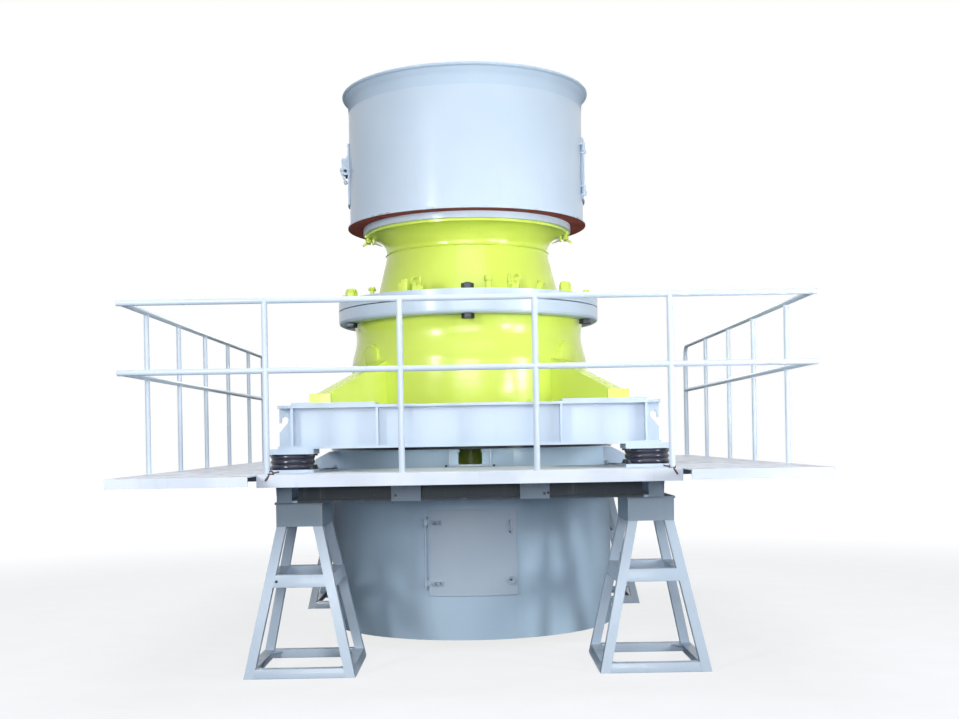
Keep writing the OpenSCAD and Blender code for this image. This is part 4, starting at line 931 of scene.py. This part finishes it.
# stands: braces and base rails that stand flush with the leaning legs, and the base gussets
stand = {
    "x": 1.1385, "y": 1.620, "frontShift": 0.028, "leg": 0.062, "footX": 0.3255, "footY": 0.379, "headX": 0.118,
    "headY": 0.2515, "head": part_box("stand_top_boxes")[0][2], "recess": 0.0008, "overlap": 0.004,
    "rails": ((0.0, 0.062), (0.572, 0.082)), "gusset": 0.105, "gussetThick": 0.010, "gussetUnder": 0.020,
    "plateZ": 0.046, "holeX": -0.148, "holeZ": 0.612, "holeDepthZ": 0.610, "hole": (0.009, 0.0015),
    "holeShadeProud": 0.0005,
}


def legAt(z):  # centre of a leg at a height
    t = z / stand["head"]
    return tuple(stand["foot" + way] + (stand["head" + way] - stand["foot" + way]) * t for way in "XY")


def addRail(bm, middle, along, side, low, tall):  # one bar between two legs, leaning with them
    half = stand["leg"] / 2
    made = bmesh.ops.create_cube(bm, size=2)["verts"]
    for vert in made:
        z = low if vert.co.z < 0 else low + tall
        legX, legY = legAt(z)
        ahead, beside = (legX, legY) if along == "x" else (legY, legX)
        run = vert.co.x * (ahead - half + stand["overlap"])
        across = beside * side + vert.co.y * (half - stand["recess"])
        vert.co = (middle[0] + (run if along == "x" else across), middle[1] + (across if along == "x" else run), z)
    soften(bm, edgesOf(made), 0.004, 3)


def standRails():
    rails, plates, holeShades = bmesh.new(), bmesh.new(), bmesh.new()
    half, under = stand["leg"] / 2, stand["gussetUnder"]
    reach = stand["gusset"] + under
    legX, legY = stand["footX"] - half, stand["footY"] - half
    for sx, sy in itertools.product((-1, 1), repeat=2):
        middle = (sx * stand["x"] + (stand["frontShift"] if sy < 0 else 0), sy * stand["y"])
        for (low, tall), side, along in itertools.product(stand["rails"], (-1, 1), "xy"):
            addRail(rails, middle, along, side, low, tall)
        for gx, gy in itertools.product((-1, 1), repeat=2):  # corner plates on the base frame
            corner = Vector((middle[0] + gx * (legX + under), middle[1] + gy * (legY + under), stand["plateZ"]))
            addPlate(plates, [corner, corner + Vector((-gx * reach, 0, 0)), corner + Vector((0, -gy * reach, 0))],
                     (0, 0, stand["gussetThick"]))
        if sx < 0 and sy < 0:  # small round hole in the front brace, drawn as a thin dark disc: painted shade of the hole
            depth = -(legAt(stand["holeDepthZ"])[1] + half)
            plug = shift(middle[0] + stand["holeX"], middle[1] + depth - stand["holeShadeProud"], stand["holeZ"])
            addRound(holeShades, plug @ forwards, *stand["hole"], 24, 0)
    keep("standRails", rails, blueLeg, smooth=30, replaced=["stand_rails"])
    keep("standBasePlates", plates, blueLeg)
    keep("standBraceHoleShade", holeShades, boltSteel)


standRails()
print("stands made")

# brackets under the deck: haunched plates, back plates on the front beam, and thin dark discs as painted shade in
# their holes
bracket = {
    "beamX": 1.242, "beamY": 1.970, "low": 1.118, "top": 1.304, "root": 0.136, "tip": 0.050, "thick": 0.010,
    "wingReach": 0.8925, "frontReach": 0.385, "wings": (-1.8, -0.7, 0.7, 1.8), "posts": railing["front"],
    "backPlate": 0.190, "holeShades": ((-0.480, 1.155), (0.475, 1.152), (0.499, 1.156)), "hole": (0.010, 0.0012),
    "holeShadeProud": 0.0004,
}


def addHaunch(bm, matrix, reach):  # bracket plate in the local XZ plane, tapering to its tip
    root, tip, thick = bracket["root"], bracket["tip"], bracket["thick"]
    curve = root - tip
    outline = [(0, 0), (reach, 0), (reach, -tip)]
    outline += [(curve - curve * math.sin(turn), -root + curve * math.cos(turn)) for turn in quarter]
    addPlate(bm, [matrix @ Vector((x, -thick / 2, z)) for x, z in outline],
             matrix.to_3x3() @ Vector((0, thick, 0)))


def underBrackets():
    bm, holeShades = bmesh.new(), bmesh.new()
    beam, top, low, thick = (bracket[key] for key in ("beamX", "top", "low", "thick"))
    for y in bracket["wings"]:
        addHaunch(bm, shift(beam, y, top), bracket["wingReach"])
        addHaunch(bm, shift(-beam, y, top) @ tilted(180, "Z"), bracket["wingReach"])
    face = -bracket["beamY"] - thick
    tall, half = top - low, bracket["backPlate"] / 2
    for x in bracket["posts"]:
        addHaunch(bm, shift(x, face, top) @ tilted(-90, "Z"), bracket["frontReach"])
        left, right = max(x - half, -beam), min(x + half, beam)  # the outer plates end with the beam
        addBlock(bm, shift((left + right) / 2, face + thick / 2, low + tall / 2), (right - left, thick, tall), 0.002)
    for x, z in bracket["holeShades"]:
        addRound(holeShades, shift(x, face + bracket["holeShadeProud"], z) @ forwards, *bracket["hole"], 20, 0)
    keep("underBrackets", bm, blueBoxShaded, replaced=["deck_brackets"])
    keep("bracketHoleShades", holeShades, boltSteel)


# rusty hooks wired to the feet of the outer front posts
hook = {
    "sides": ((-1, -1.215), (1, 1.235)), "y": -2.362, "z": 1.316, "ring": (0.018, 0.005), "ringLean": 70,
    "wires": [((0.006, -0.006, -0.004), (0.030, -0.018, -0.042), 0.006),
              ((-0.010, 0.002, 0.004), (-0.052, 0.012, 0.012), 0.005)],  # start, end, radius
    "lug": ((0.004, 0.004, -0.001), (0.030, 0.024, 0.008)),
}


def postHooks():
    bm = bmesh.new()
    for side, x in hook["sides"]:
        foot = shift(x, hook["y"], hook["z"])
        addRing(bm, foot @ tilted(hook["ringLean"], "X"), *hook["ring"], 24, 8)
        mirror = Matrix.Diagonal((side, 1, 1, 1))
        for start, end, radius in hook["wires"]:
            addRod(bm, foot @ mirror @ Vector(start), foot @ mirror @ Vector(end), radius, 12)
        place, size = hook["lug"]
        addBlock(bm, foot @ Matrix.Translation(mirror @ Vector(place)), size, 0.002)
    keep("postHooks", bm, rustySteel)


underBrackets()
postHooks()
print("brackets made")
